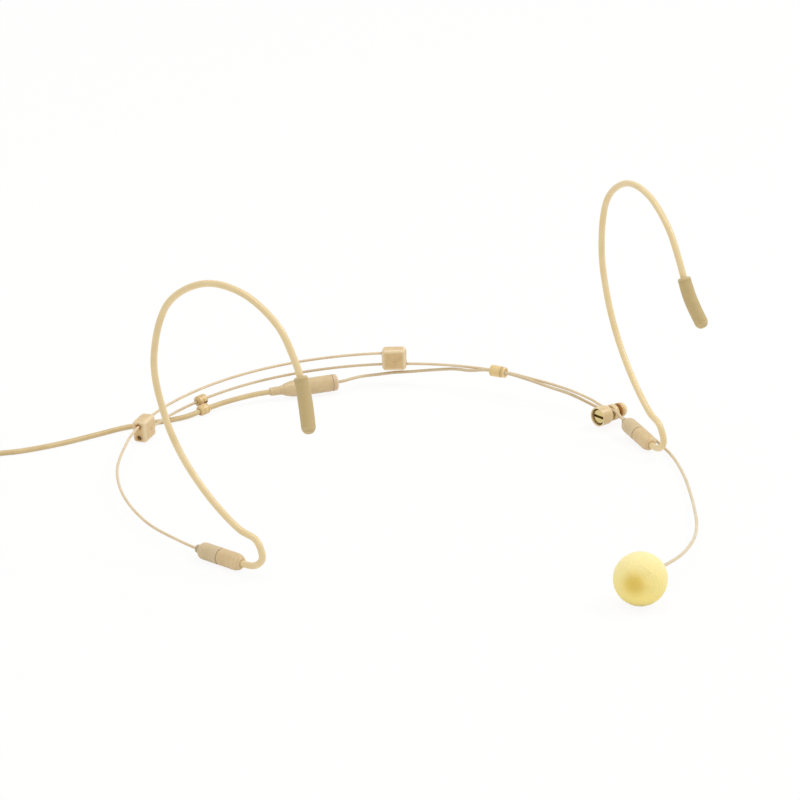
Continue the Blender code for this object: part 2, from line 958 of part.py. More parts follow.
def make_clip():
    """Build the clip that holds the cable to the lower wire, with its two lobes staggered along the wire.

    Returns:
        The clip.
    """
    tangent = band_axes(CLIP_ANGLE)[0]
    wire =band_point(CLIP_ANGLE, -WIRE_SPACING / 2)
    cable = cable_at_clip(wire, tangent)
    reach = (cable - wire).length
    down = (cable - wire).normalized()
    frame = Matrix((tangent, down, tangent.cross(down))).transposed().to_4x4()
    frame.translation = wire * MM
    middle = frame @ Matrix.Translation((0.0, reach / 2 * MM, 0.0))
    high = frame @ Matrix.Translation((CLIP_STAGGER * MM, 0.0, 0.0))
    low = frame @ Matrix.Translation((-CLIP_STAGGER * MM, reach * MM, 0.0))
    mesh = bpy.data.meshes.new("cable_clip")
    shape = bmesh.new()
    size = Matrix.Diagonal((CLIP_WEB_LENGTH * MM, reach * MM, CLIP_WEB * MM, 1.0))
    bmesh.ops.create_cube(shape, size=1.0, matrix=size)
    shape.to_mesh(mesh)
    shape.free()
    clip = add_object("cable_clip", mesh, PARTS, BLOCK_PLASTIC)
    clip.matrix_world = middle
    for label, dia, spot in (("wire", CLIP_WIRE_LOBE_DIA, high), ("cable", CLIP_CABLE_LOBE_DIA, low)):
        shape_with(clip, rod_cutter(f"clip_{label}_lobe", dia, CLIP_LENGTH, spot, CUTTERS), "UNION")
    cut(clip, rod_cutter("clip_wire_hole", BAND_WIRE_DIA + 2 * GAP, 2 * CLIP_LENGTH, frame, CUTTERS))
    cut(clip, rod_cutter("clip_cable_hole", CABLE_DIA + 2 * WIRE_GAP, 2 * CLIP_LENGTH, low, CUTTERS))
    return clip


def cable_at_clip(wire, tangent):
    """Find where the cable passes the clip.

    Args:
        wire: the wire's point at the clip.
        tangent: the wire's direction there.

    Returns:
        The point of the cable's route in the plane across the wire.
    """
    line = cable_line()
    ahead = (line - np.array(wire)) @ np.array(tangent)
    order = np.argsort(ahead)
    return Vector([float(np.interp(0.0, ahead[order], line[order, i])) for i in range(3)])


def connector_axis():
    """Give the connector's direction, from the cable to the boom."""
    turn = math.radians(CONNECTOR_ANGLE)
    flat = Vector((math.sin(turn), -math.cos(turn), 0.0))
    return flat * math.cos(CONNECTOR_RISE) + UP * math.sin(CONNECTOR_RISE)


def connector_end(sign):
    """Find the middle of one of the connector's end faces.

    Args:
        sign: -1 for the cable's end, 1 for the boom's end.

    Returns:
        The point in the design frame.
    """
    middle = beside_band(CONNECTOR_ANGLE, CONNECTOR_INSET, CONNECTOR_HEIGHT)
    return middle + connector_axis() * (sign * CONNECTOR_LENGTH / 2)


def cable_start():
    """Find the cable's end face at the connector's collar."""
    return connector_end(-1) - connector_axis() * GAP


def cable_line():
    """Follow the cable from the connector to its coil.

    Returns:
        Points on the cable's smooth route.
    """
    return smooth([cable_start()] + [beside_band(*point) for point in CABLE_BY_BAND] + list(CABLE_LINE))


def make_connector():
    """Build the in-line connector between the cable and the boom.

    Returns:
        Its pieces.
    """
    axis = connector_axis()
    whole = CONNECTOR_LENGTH
    shell_start = COLLAR_LENGTH + GAP
    shell_end = whole - NOSE_LENGTH - GAP
    bore = SHELL_BORE / 2
    shell_radius = SHELL_DIA / 2
    bore_start = shell_start + SHELL_TAPER
    collar = lathe(
        "connector_collar",
        [(0.0, COLLAR_LENGTH), (COLLAR_DIA / 2, COLLAR_LENGTH), (COLLAR_DIA / 2, EDGE)]
        + [(COLLAR_DIA / 2 - EDGE, 0.0), (0.0, 0.0)],
        CONNECTOR_PLASTIC,
        PARTS,
    )
    shell = lathe(
        "connector_shell",
        [(0.0, bore_start), (bore, bore_start), (bore, shell_end), (shell_radius, shell_end)]
        + [(shell_radius, bore_start), (shell_radius - EDGE, bore_start - SHELL_SHOULDER)]
        + [(SHELL_NECK_DIA / 2, shell_start), (0.0, shell_start)],
        CONNECTOR_PLASTIC,
        PARTS,
    )
    boom_bore = BOOM_DIA / 2 + WIRE_GAP
    nose_radius = NOSE_DIA / 2
    nose = lathe(
        "connector_nose",
        [(boom_bore, whole)]
        + [
            (nose_radius - NOSE_ROUND * (1 - math.cos(a)), whole - NOSE_ROUND * (1 - math.sin(a)))
            for a in np.linspace(math.pi / 2, 0.0, NOSE_RINGS)
        ]
        + [(nose_radius, whole - NOSE_LENGTH), (boom_bore, whole - NOSE_LENGTH)],
        NOSE_PLASTIC,
        PARTS,
    )
    insert_radius = INSERT_DIA / 2
    insert = lathe(
        "contact_insert",
        [(0.0, bore_start + GAP + INSERT_LENGTH), (insert_radius, bore_start + GAP + INSERT_LENGTH)]
        + [(insert_radius, bore_start + GAP), (0.0, bore_start + GAP)],
        BRASS,
        PARTS,
    )
    pieces = [collar, shell, nose, insert]
    for piece in pieces:
        place(piece, connector_end(-1), axis)
    return pieces


def lead_spacing():
    """Give the distance between the middles of the boom lead and the lower wire where they touch."""
    return (BAND_WIRE_DIA + BOOM_DIA) / 2 + WIRE_GAP


def beside_wire(angle, lean):
    """Find the boom lead's middle where it touches the lower wire.

    Args:
        angle: degrees from +X.
        lean: its direction from the wire, in radians above a line towards the neckband's centre.

    Returns:
        The point in the design frame.
    """
    lift = lead_spacing() * math.sin(lean)
    return band_point(angle, lift - WIRE_SPACING / 2, lead_spacing() * math.cos(lean))


def beside_run(point, lean):
    """Find the boom lead's middle where it touches the lower wire beyond the neckband's circle.

    Args:
        point: the wire's point, as its angle, share of the way out and height.
        lean: the lead's direction from the wire, as on the circle.

    Returns:
        The point in the design frame.
    """
    inward = -band_axes(point[0])[1]
    apart = inward * math.cos(lean) + UP * math.sin(lean)
    return run_point(clamped_wire(), *point) + apart * lead_spacing()


def make_bead():
    """Build the bead that ties the boom lead to the lower wire.

    Returns:
        The bead.
    """
    tangent = band_axes(BEAD_ANGLE)[0]
    wire_side = band_point(BEAD_ANGLE, -WIRE_SPACING / 2)
    lead_side = beside_wire(BEAD_ANGLE, BOOM_LEAD_LEAN)
    apart = (lead_side - wire_side).normalized()
    middle = (wire_side - apart * BAND_WIRE_DIA / 2 + lead_side + apart * BOOM_DIA / 2) / 2
    bundle = BAND_WIRE_DIA / 2 + lead_spacing() + BOOM_DIA / 2
    bore = bundle / 2 + WIRE_GAP
    half = BEAD_LENGTH / 2
    bead = lathe(
        "boom_bead",
        [(bore, half), (BEAD_STEP_DIA / 2, half), (BEAD_STEP_DIA / 2, half - BEAD_STEP)]
        + [(BEAD_DIA / 2, half - BEAD_STEP), (BEAD_DIA / 2, EDGE - half), (BEAD_DIA / 2 - EDGE, -half)]
        + [(bore, -half)],
        BLOCK_PLASTIC,
        PARTS,
    )
    return place(bead, middle, tangent)


def make_clamp():
    """Build the boom clamp.

    Returns:
        The fixed pieces, and the screw.
    """
    axis = clamp_axes()[0]
    hole = SCREW_SHANK_DIA / 2 + GAP
    near = -wire_slot() / 2
    far = near - CLAMP_BARREL_LENGTH
    head_room = SCREW_HEAD_DIA / 2 + GAP
    head_face = far + SCREW_HEAD_RECESS
    head_seat = head_face + SCREW_HEAD_LENGTH
    radius = CLAMP_BARREL_DIA / 2
    barrel = lathe(
        "clamp_barrel",
        [(hole, near), (radius - EDGE, near), (radius, near - EDGE)]
        + [(radius, far + EDGE), (radius - EDGE, far), (head_room, far)]
        + [(head_room, head_seat + GAP), (hole, head_seat + GAP)],
        CLAMP_PLASTIC,
        PARTS,
        steps=BARREL_STEPS,
    )
    ring_start = wire_slot() / 2
    ring_end = ring_start + CLAMP_RING_LENGTH
    ring_radius = CLAMP_RING_DIA / 2
    ring = lathe(
        "clamp_ring",
        [(hole, ring_end), (ring_radius - EDGE, ring_end), (ring_radius, ring_end - EDGE)]
        + [(ring_radius, ring_start + EDGE), (ring_radius - EDGE, ring_start), (hole, ring_start)],
        CLAMP_PLASTIC,
        PARTS,
    )
    knob_start = ring_end + boom_slot()
    knob_end = knob_start + CLAMP_KNOB_LENGTH
    knob_radius = CLAMP_KNOB_DIA / 2
    screw_end = knob_end - CLAMP_KNOB_CROWN
    crown = [
        (knob_radius * math.cos(a), knob_end - CLAMP_KNOB_CROWN * (1 - math.sin(a)))
        for a in np.linspace(math.pi / 2, 0.0, NOSE_RINGS)[1:]
    ]
    knob = lathe(
        "clamp_knob",
        [(0.0, knob_end)]
        + crown
        + [(knob_radius, knob_start + EDGE), (knob_radius - EDGE, knob_start)]
        + [(hole, knob_start), (hole, screw_end + GAP), (0.0, screw_end + GAP)],
        KNOB_PLASTIC,
        PARTS,
    )
    shank = SCREW_SHANK_DIA / 2
    head = SCREW_HEAD_DIA / 2
    screw = lathe(
        "clamp_screw",
        [(0.0, screw_end), (shank, screw_end), (shank, head_seat), (head, head_seat)]
        + [(head, head_face + EDGE), (head - EDGE, head_face), (0.0, head_face)],
        BRASS,
        PARTS,
    )
    for piece in (barrel, ring, knob, screw):
        place(piece, clamp_at(), axis)
    mesh = bpy.data.meshes.new("screw_slot")
    shape = bmesh.new()
    size = (2 * SCREW_HEAD_DIA * MM, SCREW_SLOT_WIDTH * MM, 2 * SCREW_SLOT_DEPTH * MM, 1.0)
    bmesh.ops.create_cube(shape, size=1.0, matrix=Matrix.Diagonal(size))
    shape.to_mesh(mesh)
    shape.free()
    slot = hide_cutter(add_object("screw_slot", mesh, CUTTERS))
    place(slot, clamp_at() + axis * head_face, axis)
    cut(screw, slot)
    return [barrel, ring, knob], screw


def mic_axis():
    """Give the microphone's direction, from the boom to its front."""
    return Vector(MIC_HEADING).normalized()


def ball_centre():
    """Find the middle of the foam ball, which rests on the table."""
    return Vector((*BALL_AT, BALL_DIA / 2))


def clamp_across():
    """Give the boom's direction where it passes the clamp, towards the microphone."""
    axis, above = clamp_axes()
    return axis.cross(above).normalized()


def make_lead():
    """Build the boom's fixed lead, from the connector through the bead to the clamp.

    Returns:
        The lead.
    """
    ahead = connector_axis()
    end = connector_end(1)
    station = clamped_boom()
    across = clamp_across()
    in_bead = (BEAD_ANGLE + BEAD_SPAN, BEAD_ANGLE - BEAD_SPAN)
    line = smooth(
        [end - ahead * NOSE_LENGTH, end + ahead * BOOM_LEAD_STRAIGHT]
        + [beside_band(*point) for point in BOOM_LEAD_LINE]
        + [beside_wire(*point) for point in BOOM_LEAD_WRAP]
        + [beside_wire(angle, BOOM_LEAD_LEAN) for angle in in_bead]
        + [beside_run(point, lean) for point, lean in zip(RIGHT_RUN, BOOM_LEAD_RUN_LEANS)]
        + [station - across * CLAMP_STRAIGHT, station - across * GAP / 2]
    )
    return tube("boom_lead", line, BOOM_DIA, BOOM_VINYL, PARTS)


def make_boom():
    """Build the boom's arm, from the clamp to the microphone's socket.

    Returns:
        The arm.
    """
    station = clamped_boom()
    across = clamp_across()
    middle = ball_centre()
    heading = mic_axis()
    line = smooth(
        [station + across * GAP / 2, station + across * CLAMP_STRAIGHT]
        + [ear_point(RIGHT, *point) for point in BOOM_BESIDE_EAR]
        + [Vector(point) for point in BOOM_LINE]
        + [middle - heading * (BALL_DIA / 2 + BALL_ENTRY)]
        + [middle - heading * (CAPSULE_BACK - CAPSULE_SOCKET + GAP)]
    )
    return tube("boom", line, BOOM_DIA, BOOM_VINYL, PARTS)


def make_microphone():
    """Build the microphone's capsule and grille, and the foam ball over them.

    Returns:
        The capsule, the grille and the ball.
    """
    radius = CAPSULE_DIA / 2
    boom_bore = BOOM_DIA / 2 + WIRE_GAP
    socket = CAPSULE_SOCKET - CAPSULE_BACK
    capsule = lathe(
        "mic_capsule",
        [(0.0, CAPSULE_FRONT), (radius, CAPSULE_FRONT), (radius, CAPSULE_TAPER - CAPSULE_BACK)]
        + [(radius - CAPSULE_TAPER, -CAPSULE_BACK), (boom_bore, -CAPSULE_BACK)]
        + [(boom_bore, socket), (0.0, socket)],
        CAPSULE_METAL,
        PARTS,
    )
    grille_start = CAPSULE_FRONT + GAP
    grille_end = grille_start + GRILLE_LENGTH
    grille = lathe(
        "mic_grille",
        [(0.0, grille_end), (radius - EDGE, grille_end), (radius, grille_end - EDGE), (radius, grille_start)]
        + [(0.0, grille_start)],
        GRILLE_METAL,
        PARTS,
    )
    ball_radius = BALL_DIA / 2
    bore = radius + GAP
    mouth = math.asin(bore / ball_radius)
    skin = [
        (ball_radius * math.sin(a), ball_radius * math.cos(a))
        for a in np.linspace(0.0, math.pi - mouth, BALL_RINGS)
    ]
    bore_floor = grille_end + BALL_BORE_FRONT
    profile = skin + [(bore, bore_floor), (0.0, bore_floor)]
    foam = lathe("foam_windscreen", profile, FOAM, PARTS, BALL_STEPS)
    pieces = [capsule, grille, foam]
    for piece in pieces:
        place(piece, ball_centre(), mic_axis())
    return pieces


def make_cable():
    """Build the cable's free run, its coil and its tail on the table.

    Returns:
        The pieces.
    """
    cable = tube("cable", cable_line(), CABLE_DIA, CABLE_VINYL, PARTS)
    inner = (COIL_MIDDLE_DIA - COIL_THICKNESS) / 2
    outer = (COIL_MIDDLE_DIA + COIL_THICKNESS) / 2
    coil = lathe(
        "cable_coil",
        [(inner + COIL_ROUND, COIL_HEIGHT), (outer - COIL_ROUND, COIL_HEIGHT)]
        + [(outer, COIL_HEIGHT - COIL_ROUND), (outer, COIL_ROUND)]
        + [(outer - COIL_ROUND, 0.0), (inner + COIL_ROUND, 0.0)]
        + [(inner, COIL_ROUND), (inner, COIL_HEIGHT - COIL_ROUND)],
        CABLE_VINYL,
        PARTS,
        COIL_STEPS,
    )
    place(coil, (*COIL_AT, 0.0), UP)
    tail = tube("cable_tail", smooth(TAIL_LINE), CABLE_DIA, CABLE_VINYL, PARTS)
    return [cable, coil, tail]


def make_plug():
    """Build the plug at the cable's end: its boot, its shell and its pin.

    Returns:
        The pieces.
    """
    boot_end = GAP + PLUG_BOOT_LENGTH
    boot_radius = PLUG_BOOT_DIA / 2
    boot = lathe(
        "plug_boot",
        [(0.0, boot_end), (boot_radius, boot_end), (boot_radius, boot_end - PLUG_BOOT_COLLAR)]
        + [(PLUG_BOOT_TIP_DIA / 2, GAP), (0.0, GAP)],
        PLUG_RUBBER,
        PARTS,
    )
    shell_start = boot_end + GAP
    shell_end = shell_start + PLUG_SHELL_LENGTH
    shell_radius = PLUG_SHELL_DIA / 2
    pin_radius = PLUG_PIN_DIA / 2
    seat = shell_end - PLUG_PIN_SEAT
    shell = lathe(
        "plug_shell",
        [(0.0, seat), (pin_radius + GAP, seat), (pin_radius + GAP, shell_end)]
        + [(shell_radius - EDGE, shell_end), (shell_radius, shell_end - EDGE)]
        + [(shell_radius, shell_start + PLUG_SHELL_TAPER)]
        + [(shell_radius - PLUG_SHELL_TAPER, shell_start), (0.0, shell_start)],
        PLUG_METAL,
        PARTS,
    )
    pin_end = shell_end + PLUG_PIN_LENGTH
    notch = pin_end - PLUG_NOTCH_AT
    pin = lathe(
        "plug_pin",
        [(0.0, pin_end), (pin_radius / 3, pin_end - EDGE / 2), (pin_radius, pin_end - PLUG_TIP_LENGTH)]
        + [(pin_radius - PLUG_NOTCH_DEPTH, notch), (pin_radius, notch - PLUG_NOTCH_RISE)]
        + [(pin_radius, seat + GAP), (0.0, seat + GAP)],
        BRASS,
        PARTS,
    )
    heading = Vector(TAIL_LINE[-1]) - Vector(TAIL_LINE[-2])
    heading.z = 0.0
    pieces = [boot, shell, pin]
    for piece in pieces:
        place(piece, TAIL_LINE[-1], heading)
    return pieces


def make_wires():
    """Build the two neckband wires.

    Returns:
        The left wire, which the right block holds, and the right wire, which the left block holds.
    """
    half = block_half_angle()
    recess = math.degrees(WIRE_END_RECESS / BAND_RADIUS)
    left_face = LEFT_BLOCK_ANGLE + half
    right_face = RIGHT_BLOCK_ANGLE - half
    upper = WIRE_SPACING / 2
    left_end = ferrule_point(LEFT, ferrule_length())
    left_line = smooth(
        arc(right_face + recess, left_face + half, upper)
        + [run_point(left_end, *point) for point in LEFT_RUN]
        + wire_end(LEFT)
    )
    across = clamp_across()
    crossing = clamped_wire()
    right_line = smooth(
        arc(left_face - recess, BEAD_ANGLE - BEAD_SPAN, -upper)
        + [run_point(crossing, *point) for point in RIGHT_RUN]
        + [crossing - across * barrel_chord(), crossing + across * barrel_chord()]
        + wire_end(RIGHT)
    )
    left_wire = tube("left_band_wire", left_line, BAND_WIRE_DIA, WIRE_COAT, PARTS)
    right_wire = tube("right_band_wire", right_line, BAND_WIRE_DIA, WIRE_COAT, PARTS)
    return left_wire, right_wire


def build():
    """Build the headset and hang each moving piece on its axis."""
    left_wire, right_wire = make_wires()
    left_block = make_block("left_slide_block", LEFT_BLOCK_ANGLE)
    right_block = make_block("right_slide_block", RIGHT_BLOCK_ANGLE)
    left_barrel, left_fixed = make_ferrule(LEFT, "left")
    right_barrel, right_fixed = make_ferrule(RIGHT, "right")
    clamp, screw = make_clamp()
    fixed = [right_wire, left_block, make_clip(), make_bead(), make_lead(), screw]
    fixed += right_fixed + clamp + make_connector() + make_cable() + make_plug()

    root = pivot("headset", (0.0, 0.0, 0.0))
    band_slide = pivot("band_slide", (0.0, BAND_CENTRE_Y, BAND_HEIGHT), band_axes(0.0)[2])
    seam = BARREL_LENGTH + GAP / 2
    left_swivel = pivot("left_swivel", ferrule_point(LEFT, seam), ferrule_axis(LEFT))
    right_swivel = pivot("right_swivel", ferrule_point(RIGHT, seam), ferrule_axis(RIGHT))
    boom_swing = pivot("boom_swing", clamp_at(), clamp_axes()[0])

    carry(left_swivel, [left_barrel] + make_hook(LEFT, "left"))
    carry(right_swivel, [right_barrel] + make_hook(RIGHT, "right"))
    carry(boom_swing, [make_boom()] + make_microphone())
    carry(band_slide, [left_wire, right_block, left_swivel] + left_fixed)
    carry(root, fixed + [band_slide, right_swivel, boom_swing])
    root.location = (-ROOT_X * MM, -ROOT_Y * MM, 0.0)


clear_scene()
PARTS = new_collection("headset_microphone")
CUTTERS = new_collection("cutters")
CUTTERS.hide_render = True

STEEL = finish("spring_steel", "8E8A82", 0.35, 1.0)
BRASS = finish("brass", "B89A55", 0.3, 1.0)
HOOK_VINYL = finish("hook_vinyl", "DCC089", 0.45)
TIP_RUBBER = finish("tip_rubber", "B9A371", 0.6)
FERRULE_PLASTIC = finish("ferrule_plastic", "CDB68D", 0.55)
WIRE_COAT = finish("wire_coat", "CDB183", 0.45)
BLOCK_PLASTIC = finish("block_plastic", "E6C894", 0.3)
CONNECTOR_PLASTIC = finish("connector_plastic", "CFB78F", 0.5)
NOSE_PLASTIC = finish("nose_plastic", "DDBF9F", 0.45)
CLAMP_PLASTIC = finish("clamp_plastic", "D9BD8C", 0.4)
KNOB_PLASTIC = finish("knob_plastic", "DDB878", 0.4)
BOOM_VINYL = finish("boom_vinyl", "CDAE84", 0.45)
CAPSULE_METAL = finish("capsule_metal", "7C7468", 0.4, 1.0)
GRILLE_METAL = finish("grille_metal", "A79B84", 0.4, 1.0)
FOAM = finish("windscreen_foam", "F3E199", 0.95)
CABLE_VINYL = finish("cable_vinyl", "D5C490", 0.5)
PLUG_RUBBER = finish("plug_rubber", "C9B183", 0.6)
PLUG_METAL = finish("plug_metal", "C9C4B8", 0.3, 1.0)

build()
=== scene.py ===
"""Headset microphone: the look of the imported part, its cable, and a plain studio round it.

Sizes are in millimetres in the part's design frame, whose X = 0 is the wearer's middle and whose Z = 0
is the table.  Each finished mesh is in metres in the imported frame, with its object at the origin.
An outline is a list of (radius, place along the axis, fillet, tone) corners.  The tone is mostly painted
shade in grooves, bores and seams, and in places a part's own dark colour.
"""

import logging
import math
from collections.abc import Callable
from dataclasses import dataclass, replace
from enum import Enum

import bpy
import numpy as np
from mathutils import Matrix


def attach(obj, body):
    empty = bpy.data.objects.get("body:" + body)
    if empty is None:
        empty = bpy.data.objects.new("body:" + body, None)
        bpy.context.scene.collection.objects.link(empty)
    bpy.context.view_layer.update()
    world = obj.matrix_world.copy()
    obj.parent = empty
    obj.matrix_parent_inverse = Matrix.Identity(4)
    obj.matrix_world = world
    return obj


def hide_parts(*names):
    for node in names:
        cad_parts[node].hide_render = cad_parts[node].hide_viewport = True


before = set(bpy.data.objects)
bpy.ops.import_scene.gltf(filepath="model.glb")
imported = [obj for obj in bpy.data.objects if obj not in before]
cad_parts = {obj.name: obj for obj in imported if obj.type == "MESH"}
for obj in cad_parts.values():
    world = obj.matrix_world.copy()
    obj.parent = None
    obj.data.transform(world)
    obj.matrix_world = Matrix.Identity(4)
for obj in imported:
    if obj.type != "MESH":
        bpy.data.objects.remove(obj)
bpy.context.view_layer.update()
LOG = logging.getLogger("headset")

Array = np.ndarray
Point = tuple[float, float, float]
Span = tuple[float, float]
Thing = bpy.types.Object
Tree = bpy.types.NodeTree
Socket = bpy.types.NodeSocket

MM = 0.001
ORIGIN = np.array((1.4, 17.0, 0.0))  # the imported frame's origin in the design frame
UP = np.array((0.0, 0.0, 1.0))
TINY = 1e-6
GAP = 0.3
SHARP = math.radians(38.0)
LEG_SHARE = 0.49  # the most of a leg that a fillet takes
WELD_DIGITS = 5  # decimals of a millimetre to which the sides of a box meet
FINE = "_fine"  # ends the name of the piece that stands for a CAD node


class Side(Enum):
    """An ear of the wearer, as seen from the front."""

    RIGHT = 1
    LEFT = -1

    def node(self, part: str) -> str:
        """Name a CAD node or a body of this side."""
        return f"{self.name.lower()}_{part}"

    def fine(self, part: str) -> str:
        """Name the fine piece of a node of this side."""
        return self.node(part) + FINE


class Body(Enum):
    """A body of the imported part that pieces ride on."""

    RIGHT_SIDE = "right_side"
    LEFT_SIDE = "left_side"
    RIGHT_HOOK = "right_hook"
    LEFT_HOOK = "left_hook"
    BOOM_ARM = "boom_arm"
    WINDSCREEN = "windscreen"
    SCREW = "screw"


def linear(code: str) -> tuple[float, float, float, float]:
    """Turn an sRGB hex code into linear colour.

    Args:
        code: six hex digits.

    Returns:
        Linear red, green and blue, and an alpha of one.
    """
    parts = np.frombuffer(bytes.fromhex(code), np.uint8) / 255.0
    low, high = parts / 12.92, ((parts + 0.055) / 1.055) ** 2.4
    return (*np.where(parts <= 0.04045, low, high).tolist(), 1.0)


def add_node(tree: Tree, kind: str, sockets: dict | None = None, **settings) -> bpy.types.Node:
    """Add a node with its settings and links.

    Args:
        tree: where it goes.
        kind: the node's type name.
        sockets: input name or number to a value, or to the output socket that feeds it.
        **settings: the node's own properties.

    Returns:
        The node.
    """
    node = tree.nodes.new(kind)
    for name, value in settings.items():
        setattr(node, name, value)
    for name, value in (sockets or {}).items():
        if isinstance(value, Socket):
            tree.links.new(value, node.inputs[name])
        else:
            node.inputs[name].default_value = value
    return node


def unit(vector: Array) -> Array:
    """Scale vectors to length one along their last axis."""
    vector = np.asarray(vector, dtype=float)
    return vector / np.linalg.norm(vector, axis=-1, keepdims=True)


def around(sides: int) -> Array:
    """Give equal angles round a circle."""
    return np.arange(sides) * (2 * math.pi / sides)


def bulged(wave: Array, power: float) -> Array:
    """Square off a sine or cosine by a power of its size, as a superellipse does."""
    return np.sign(wave) * np.abs(wave) ** power


def lengths(line: Array) -> Array:
    """Give the length of a line from its start to each of its points."""
    return np.concatenate([[0.0], np.cumsum(np.linalg.norm(np.diff(line, axis=0), axis=1))])


def read_at(marks: Array, at: Array, rows: Array) -> Array:
    """Read rows of three numbers, given at places that grow, at other places in between."""
    return np.column_stack([np.interp(marks, at, rows[:, i]) for i in range(3)])


def flow(points: list, step: float, fine: int = 60) -> Array:
    """Run a smooth curve through a route's points.

    Between two points the curve is a cubic whose slopes come from the neighbours, over a parameter that
    grows with the square root of each distance.  It is then cut into equal steps.

    Args:
        points: the route.
        step: distance between the curve's points.
        fine: samples of the curve for each point of the route.

    Returns:
        Points along the curve.
    """
    knots = np.array(points, dtype=float)
    at = np.concatenate([[0.0], np.cumsum(np.sqrt(np.linalg.norm(np.diff(knots, axis=0), axis=1)))])
    slopes = np.gradient(knots, at, axis=0)
    dense = np.linspace(0.0, at[-1], fine * len(knots))
    k = np.clip(np.searchsorted(at, dense, side="right") - 1, 0, len(knots) - 2)
    width = (at[k + 1] - at[k])[:, None]
    t = (dense - at[k])[:, None] / width
    line = (
        (2 * t**3 - 3 * t**2 + 1) * knots[k]
        + (t**3 - 2 * t**2 + t) * width * slopes[k]
        + (3 * t**2 - 2 * t**3) * knots[k + 1]
        + (t**3 - t**2) * width * slopes[k + 1]
    )
    whole = lengths(line)
    return read_at(np.linspace(0.0, whole[-1], math.ceil(whole[-1] / step) + 1), whole, line)


@dataclass(frozen=True)
class Stand:
    """Where a straight piece stands: a point, and three directions at right angles."""

    at: Array
    across: Array
    aside: Array
    along: Array

    @classmethod
    def facing(cls, at: Array | Point, along: Array | Point, hint: Array = UP) -> "Stand":
        """Stand a piece along a direction.

        Args:
            at: its origin in the design frame.
            along: the direction of its own Z.
            hint: a direction that its own X leans to.

        Returns:
            The stand.
        """
        z = unit(along)
        x = unit(hint - (hint @ z) * z)
        return cls(np.asarray(at, dtype=float), x, np.cross(z, x), z)

    def moved(self, x: float, y: float, z: float) -> "Stand":
        """Give the same directions at a point in this stand's own frame."""
        return replace(self, at=self.out(np.array((x, y, z))))

    def out(self, local: Array) -> Array:
        """Carry points from the piece's own frame to the design frame."""
        return self.at + local @ np.array((self.across, self.aside, self.along))

    def back(self, points: Array) -> Array:
        """Carry points from the design frame to the piece's own frame."""
        return (points - self.at) @ np.array((self.across, self.aside, self.along)).T


@dataclass(frozen=True)
class Profile:
    """Outline of a round piece: radius and place along its axis, worn edges with painted highlight, and
    painted shade in recesses.
    """

    radius: Array
    along: Array
    edge: Array
    tone: Array

    @classmethod
    def through(cls, corners: list, step: float, ring: bool = False, arc: int = 7) -> "Profile":
        """Round every corner of an outline.

        A corner is cut back by its fillet along both legs, and a parabola with the corner as its control
        point bridges the cut.  Long legs are divided.  Outlines run up the outer side, and down a bore.

        Args:
            corners: (radius, along, fillet, tone) rows; fillet and tone may be left out.
            step: longest distance between points.
            ring: whether the outline is closed; points on the axis are left out of an open one.
            arc: points on each rounded corner.

        Returns:
            The outline.
        """
        table = np.array([tuple(c) + (0.0,) * (4 - len(c)) for c in corners])
        spot, fillet, tone = table[:, :2], table[:, 2], table[:, 3]
        legs = np.diff(spot, axis=0)
        reach = np.linalg.norm(legs, axis=1)
        heading = legs / reach[:, None]
        cut = np.minimum(fillet[1:-1], LEG_SHARE * np.minimum(reach[:-1], reach[1:]))[:, None]
        before, after = spot[1:-1] - heading[:-1] * cut, spot[1:-1] + heading[1:] * cut
        t = np.linspace(0.0, 1.0, arc)[None, :, None]
        bends = (1 - t) ** 2 * before[:, None] + 2 * t * (1 - t) * spot[1:-1, None] + t**2 * after[:, None]
        turn = heading[:-1, 0] * heading[1:, 1] - heading[:-1, 1] * heading[1:, 0]
        # convex rounded corners are painted lighter: partly wear, partly painted highlight
        worn = np.clip(turn, 0.0, 1.0)[:, None] * (4 * t * (1 - t))[0, :, 0] * (fillet[1:-1, None] > 0)
        line = np.concatenate([spot[:1], bends.reshape(-1, 2), spot[-1:]])
        edge = np.concatenate([[0.0], worn.ravel(), [0.0]])
        dark = np.concatenate([tone[:1], np.repeat(tone[1:-1], arc), tone[-1:]])
        keep = np.concatenate([[True], np.linalg.norm(np.diff(line, axis=0), axis=1) > TINY])
        line, edge, dark = line[keep], edge[keep], dark[keep]
        at = lengths(line)
        even = np.linspace(0.0, at[-1], math.ceil(at[-1] / step) + 1)
        clear = np.abs(even[:, None] - at[None, :]).min(axis=1) > step / 4
        marks = np.sort(np.concatenate([at, even[clear]]))
        columns = [np.interp(marks, at, v) for v in (line[:, 0], line[:, 1], edge, dark)]
        return cls(*(v[(columns[0] > TINY) | ring] for v in columns))


@dataclass(frozen=True)
class Knurl:
    """Teeth round a band of a turned piece, cut by a radius that waves with the angle."""

    teeth: int
    depth: float  # as a share of the radius
    start: float
    end: float
    rise: float = 0.4
    fall: float = 0.4
    power: int = 1
    sides_per_tooth: int = 6

    def ripple(self, along: Array, angle: Array) -> Array:
        """Give the factor on the radius at each place and angle.

        Args:
            along: places along the axis, as a column.
            angle: angles round it.

        Returns:
            Factors, by place and angle.
        """
        band = np.clip((along - self.start) / self.rise, 0, 1) * np.clip((self.end - along) / self.fall, 0, 1)
        return 1 - self.depth * band * (0.5 - 0.5 * np.cos(self.teeth * angle)) ** self.power


def add_object(name: str, data: bpy.types.ID) -> Thing:
    """Put a mesh, a lamp or a camera in the scene.

    Args:
        name: the object's name.
        data: what it shows.

    Returns:
        The object, at the origin.
    """
    obj = bpy.data.objects.new(name, data)
    bpy.context.scene.collection.objects.link(obj)
    return obj


def smooth(mesh: bpy.types.Mesh) -> None:
    """Shade a mesh smooth up to its sharp edges."""
    mesh.shade_smooth()
    mesh.set_sharp_from_angle(angle=SHARP)


